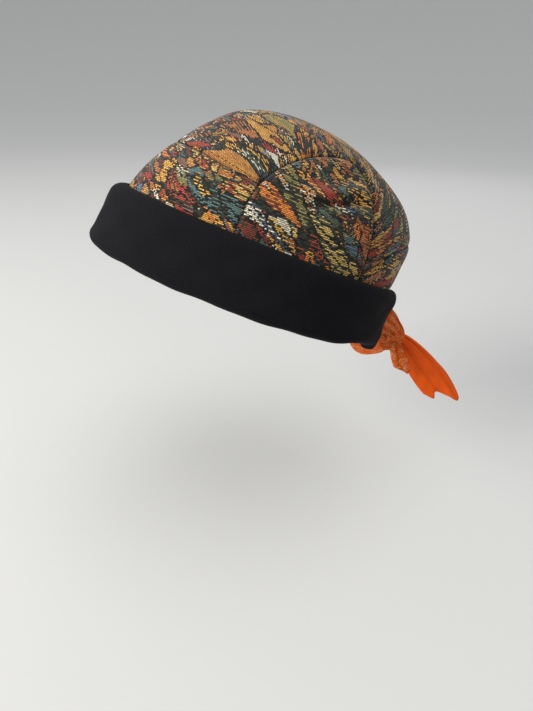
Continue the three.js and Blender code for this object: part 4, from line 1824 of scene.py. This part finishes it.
    def tail(self, name: str, rows: tuple, end: tuple, folds: tuple, length: float, width: float,
             fall: tuple[float, float, float, float], material: bpy.types.Material,
             slot: Slot) -> bpy.types.Object:
        """Make one tail.

        Args:
            name: Name of the piece.
            rows: Share of the length with the edges' shares of the width.
            end: Where the cloth ends from the lower to the upper edge.
            folds: How far it stands out from the lower to the upper edge.
            length: Length of the tail.
            width: Width of the tail.
            fall: Slope at the root and the end, drift, and place beside the knot's middle.
            material: Its cloth.
            slot: Its slot, passed on.

        Returns:
            The piece.
        """
        root, tip, drift, aside = fall
        start = self.knot_middle() + np.array([self.spread * aside, -4.0 * aside, -2.5 * aside])
        start = start + self.heading(root, tip, drift, np.zeros(1))[0] * self.knot * 0.12
        fine = np.linspace(0, 1, 200)
        steps = self.heading(root, tip, drift, fine) * (length + self.knot * 0.2) / 199
        path = start + np.cumsum(steps, axis=0) - steps[0]
        row_fine, end_fine, wave_fine = (closely(table, 300) for table in (rows, end, folds))

        def shape(s: np.ndarray, t: np.ndarray) -> tuple[np.ndarray, np.ndarray]:
            """Place the tail's points round its path."""
            v = -np.cos(2 * math.pi * s)
            bulge = np.sin(2 * math.pi * s)
            cut = np.interp(v, end_fine[:, 0], end_fine[:, 1])
            share = cut * t
            middle = np.column_stack([np.interp(share, fine, path[:, k]) for k in range(3)])
            way = self.heading(root, tip, drift, share)
            up = unit(np.stack([np.zeros(len(share)), -way[:, 2], way[:, 1]], -1))
            out = unit(np.cross(way, up))
            out = out * np.sign(out[:, :1])
            near = np.interp(share, row_fine[:, 0], row_fine[:, 1])
            far = np.interp(share, row_fine[:, 0], row_fine[:, 2])
            edge = np.where(v < 0, near, far) * width
            wave = np.interp(v, wave_fine[:, 0], wave_fine[:, 1])
            gathered = mix(1.5, 0.75, share) * smooth(-0.05, 0.2, share)
            root_pleats = np.abs(np.sin(math.pi * 2.4 * (v + 0.2))) * (1 - smooth(0.0, 0.45, share)) * 1.6
            crumple = 0.35 * np.sin(v * 7 + share * 19) * np.sin(share * 13 + 1)
            half = self.cloth / 2 * (1 + 2.2 * (1 - share) ** 3) * (1 - 0.45 * smooth(0.75, 1.0, t))
            half = half * np.sqrt(1 - smooth(0.96, 1.0, t))
            lift = wave * gathered + root_pleats + crumple + half * np.sign(bulge) * np.abs(bulge) ** 0.35
            points = middle + up * (v * edge)[:, None] + out * lift[:, None]
            cloth = np.column_stack([share * length, v * edge + 60 + 70 * (bulge < 0)])
            return points, cloth

        mesh = shaped_grid(*self.tail_faces, shape)
        return self.close_tube(mesh, name, material, slot, f"tie_{name}", length, "knot")

    def tied_knot(self, material: bpy.types.Material) -> bpy.types.Object:
        """Make the knot: a ball of cloth with a wrap and folds that run into it.

        Args:
            material: Printed cotton.

        Returns:
            The piece.
        """
        middle, reach = self.knot_middle(), self.knot / 2

        def shape(s: np.ndarray, t: np.ndarray) -> tuple[np.ndarray, np.ndarray]:
            """Place the knot's points, with the poles to the left and right."""
            round_it, slope = 2 * math.pi * s, math.pi * (t - 0.5)
            across = np.sin(slope)
            wrap = np.exp(-(((across - 0.1 + 0.2 * np.sin(round_it)) / 0.45) ** 2))
            folds = np.abs(np.sin(round_it * 2.5 + across * 3.2)) * 0.09 + wrap * 0.1
            size = reach * (0.72 + folds)
            ring = np.cos(slope) * size
            points = middle + np.column_stack(
                [across * size, ring * np.cos(round_it), ring * np.sin(round_it)])
            return points, np.column_stack([s * 46, t * 30 + 200])

        mesh = shaped_grid(*self.knot_faces, shape)
        return self.close_tube(mesh, "knot", material, Slot.PATTERNED, "tie_knot",
                               self.knot * math.pi / 2, "band_left")

    def build(self, printed: bpy.types.Material, plain: bpy.types.Material) -> list[bpy.types.Object]:
        """Make the whole kerchief.

        Args:
            printed: Cloth with the printed pattern.
            plain: Cloth without it.

        Returns:
            The pieces.
        """
        return [
            self.band("band_left", 1.0, self.NEAR_BAND, self.NEAR_WRAP, printed),
            self.band("band_right", -1.0, self.FAR_BAND, self.FAR_WRAP, printed),
            self.tied_knot(printed),
            self.tail("tail_short", self.SHORT_TAIL, self.SHORT_END, self.SHORT_FOLDS,
                      self.short_length, self.short_width, self.SHORT_FALL, printed, Slot.PATTERNED),
            self.tail("tail_long", self.LONG_TAIL, self.LONG_END, self.LONG_FOLDS,
                      self.long_length, self.long_width, self.LONG_FALL, plain, Slot.PLAIN),
        ]


# Studio


@dataclass(frozen=True)
class SoftLight:
    """An area light.

    Attributes:
        name: Name of the light.
        way: Direction from the hat to the light.
        distance: Metres from the hat.
        size: Side of the light.
        power: Watts.
        colour: Colour of the light.
    """

    name: str
    way: tuple[float, float, float]
    distance: float
    size: float
    power: float
    colour: Colour = (1.0, 1.0, 1.0)

    def build(self, target: Vector) -> None:
        """Add the light.

        Args:
            target: Point that it faces.
        """
        data = bpy.data.lights.new(self.name, "AREA")
        data.size, data.energy, data.color = self.size, self.power, self.colour
        light = bpy.data.objects.new(self.name, data)
        way = Vector(self.way).normalized()
        light.location = target + way * self.distance
        light.rotation_euler = (-way).to_track_quat("-Z", "Y").to_euler()
        bpy.context.scene.collection.objects.link(light)


@dataclass(frozen=True)
class Studio:
    """Pale floor with a raised rim, soft lights and the photo's camera.

    Attributes:
        floor_height: Height of the floor, in metres.
        floor_reach: Radius of the flat floor.
        wall_height: Height that its raised rim would reach at a quarter turn.
        wall_reach: How far out the raised rim would reach there.
        wall_turn: Degrees of turn at which it ends.
        wall_steps: Faces up the raised rim.
        floor_colour: Colour of the floor.
        world_colour: Colour of the light from all round.
        world_strength: Strength of that light.
        camera_place: Place of the camera.
        camera_back: Direction from the picture to the camera.
        camera_right: Direction to the picture's right.
        lens: Focal length, in millimetres on the sensor.
        sensor: Width of the sensor, in millimetres.
        target: Point that the lights face.
    """

    floor_height: float = -0.19
    floor_reach: float = 2.2
    wall_height: float = 6.6
    wall_reach: float = 5.0
    wall_turn: float = 60.0
    wall_steps: int = 8
    floor_colour: Colour = (0.5, 0.5, 0.488)
    world_colour: Colour = (0.93, 0.96, 1.0)
    world_strength: float = 0.68
    camera_place: tuple[float, float, float] = (0.3728, -0.0453, 0.1578)
    camera_back: tuple[float, float, float] = (0.8529, -0.1504, 0.5)
    camera_right: tuple[float, float, float] = (0.1737, 0.9848, 0.0)
    lens: float = 27.04
    sensor: float = 36.0
    target: tuple[float, float, float] = (0.0, 0.03, 0.03)

    LIGHTS = (
        SoftLight("key", (0.3, -1.0, 0.55), 2.2, 1.0, 64.0, (1.0, 0.97, 0.93)),
        SoftLight("above", (0.15, 0.1, 1.0), 2.6, 2.0, 27.0),
        SoftLight("fill", (1.0, 0.7, 0.25), 1.4, 1.0, 0.3, (0.93, 0.96, 1.0)),
        SoftLight("back", (-1.0, 0.5, 0.5), 1.4, 1.0, 2.0),
    )

    def floor(self) -> None:
        """Spin the floor's profile round."""
        mesh = bmesh.new()
        ends = [mesh.verts.new((0.0, 0.0, self.floor_height)),
                mesh.verts.new((self.floor_reach, 0.0, self.floor_height))]
        profile = [*ends]
        for step in range(1, self.wall_steps + 1):
            angle = math.radians(step * self.wall_turn / self.wall_steps)
            out = self.floor_reach + math.sin(angle) * self.wall_reach
            up = self.floor_height + (1 - math.cos(angle)) * self.wall_height
            profile.append(mesh.verts.new((out, 0.0, up)))
        edges = [mesh.edges.new(pair) for pair in zip(profile, profile[1:])]
        bmesh.ops.spin(mesh, geom=[*profile, *edges], cent=(0, 0, 0), axis=(0, 0, 1), dvec=(0, 0, 0),
                       angle=2 * math.pi, steps=96, use_merge=True, use_duplicate=False)
        bmesh.ops.remove_doubles(mesh, verts=mesh.verts[:], dist=1e-5)
        bmesh.ops.recalc_face_normals(mesh, faces=mesh.faces[:])
        data = bpy.data.meshes.new("floor")
        mesh.to_mesh(data)
        mesh.free()
        data.shade_smooth()
        s = Shader("floor")
        data.materials.append(s.finish(self.floor_colour, 0.9, {}))
        piece = bpy.data.objects.new("floor", data)
        bpy.context.scene.collection.objects.link(piece)

    def world(self) -> None:
        """Set the light from all round."""
        world = bpy.data.worlds.new("studio")
        world.use_nodes = True
        background = world.node_tree.nodes["Background"]
        background.inputs["Color"].default_value = (*self.world_colour, 1.0)
        background.inputs["Strength"].default_value = self.world_strength
        bpy.context.scene.world = world

    def camera(self) -> None:
        """Add the photo's camera."""
        data = bpy.data.cameras.new("photo")
        data.lens, data.sensor_width, data.clip_start = self.lens, self.sensor, 0.01
        camera = bpy.data.objects.new("photo", data)
        back, right = Vector(self.camera_back).normalized(), Vector(self.camera_right).normalized()
        turn = Matrix((right, back.cross(right), back)).transposed().to_4x4()
        camera.matrix_world = Matrix.Translation(Vector(self.camera_place)) @ turn
        bpy.context.scene.collection.objects.link(camera)
        bpy.context.scene.camera = camera

    def build(self) -> None:
        """Set up the floor, the lights and the camera."""
        self.floor()
        self.world()
        for light in self.LIGHTS:
            light.build(Vector(self.target))
        self.camera()


def main() -> None:
    """Build the hat and the studio."""
    logging.basicConfig(level=logging.INFO, format="%(message)s")
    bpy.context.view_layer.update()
    tapestry = TapestryFinish().build("tapestry")
    reverse = TapestryFinish(muted=0.55).build("tapestry_reverse")
    cotton = CottonFinish().build("black_cotton")
    # Printed cloth with its own lit orange and shaded orange, the second partly painted shade.
    printed = KerchiefFinish(screen(200, 88, 8), screen(156, 50, 0), motif=7.0).build("orange_patterned")
    plain = KerchiefFinish().build("orange_plain")
    crown = Crown()
    crown.build(tapestry, reverse, cotton)
    cuff = Cuff(crown.form)
    cuff.build(cotton)
    Kerchief(cuff).build(printed, plain)
    Studio().build()
    bpy.context.scene.view_settings.view_transform = "Standard"


if __name__ == "__main__":
    main()
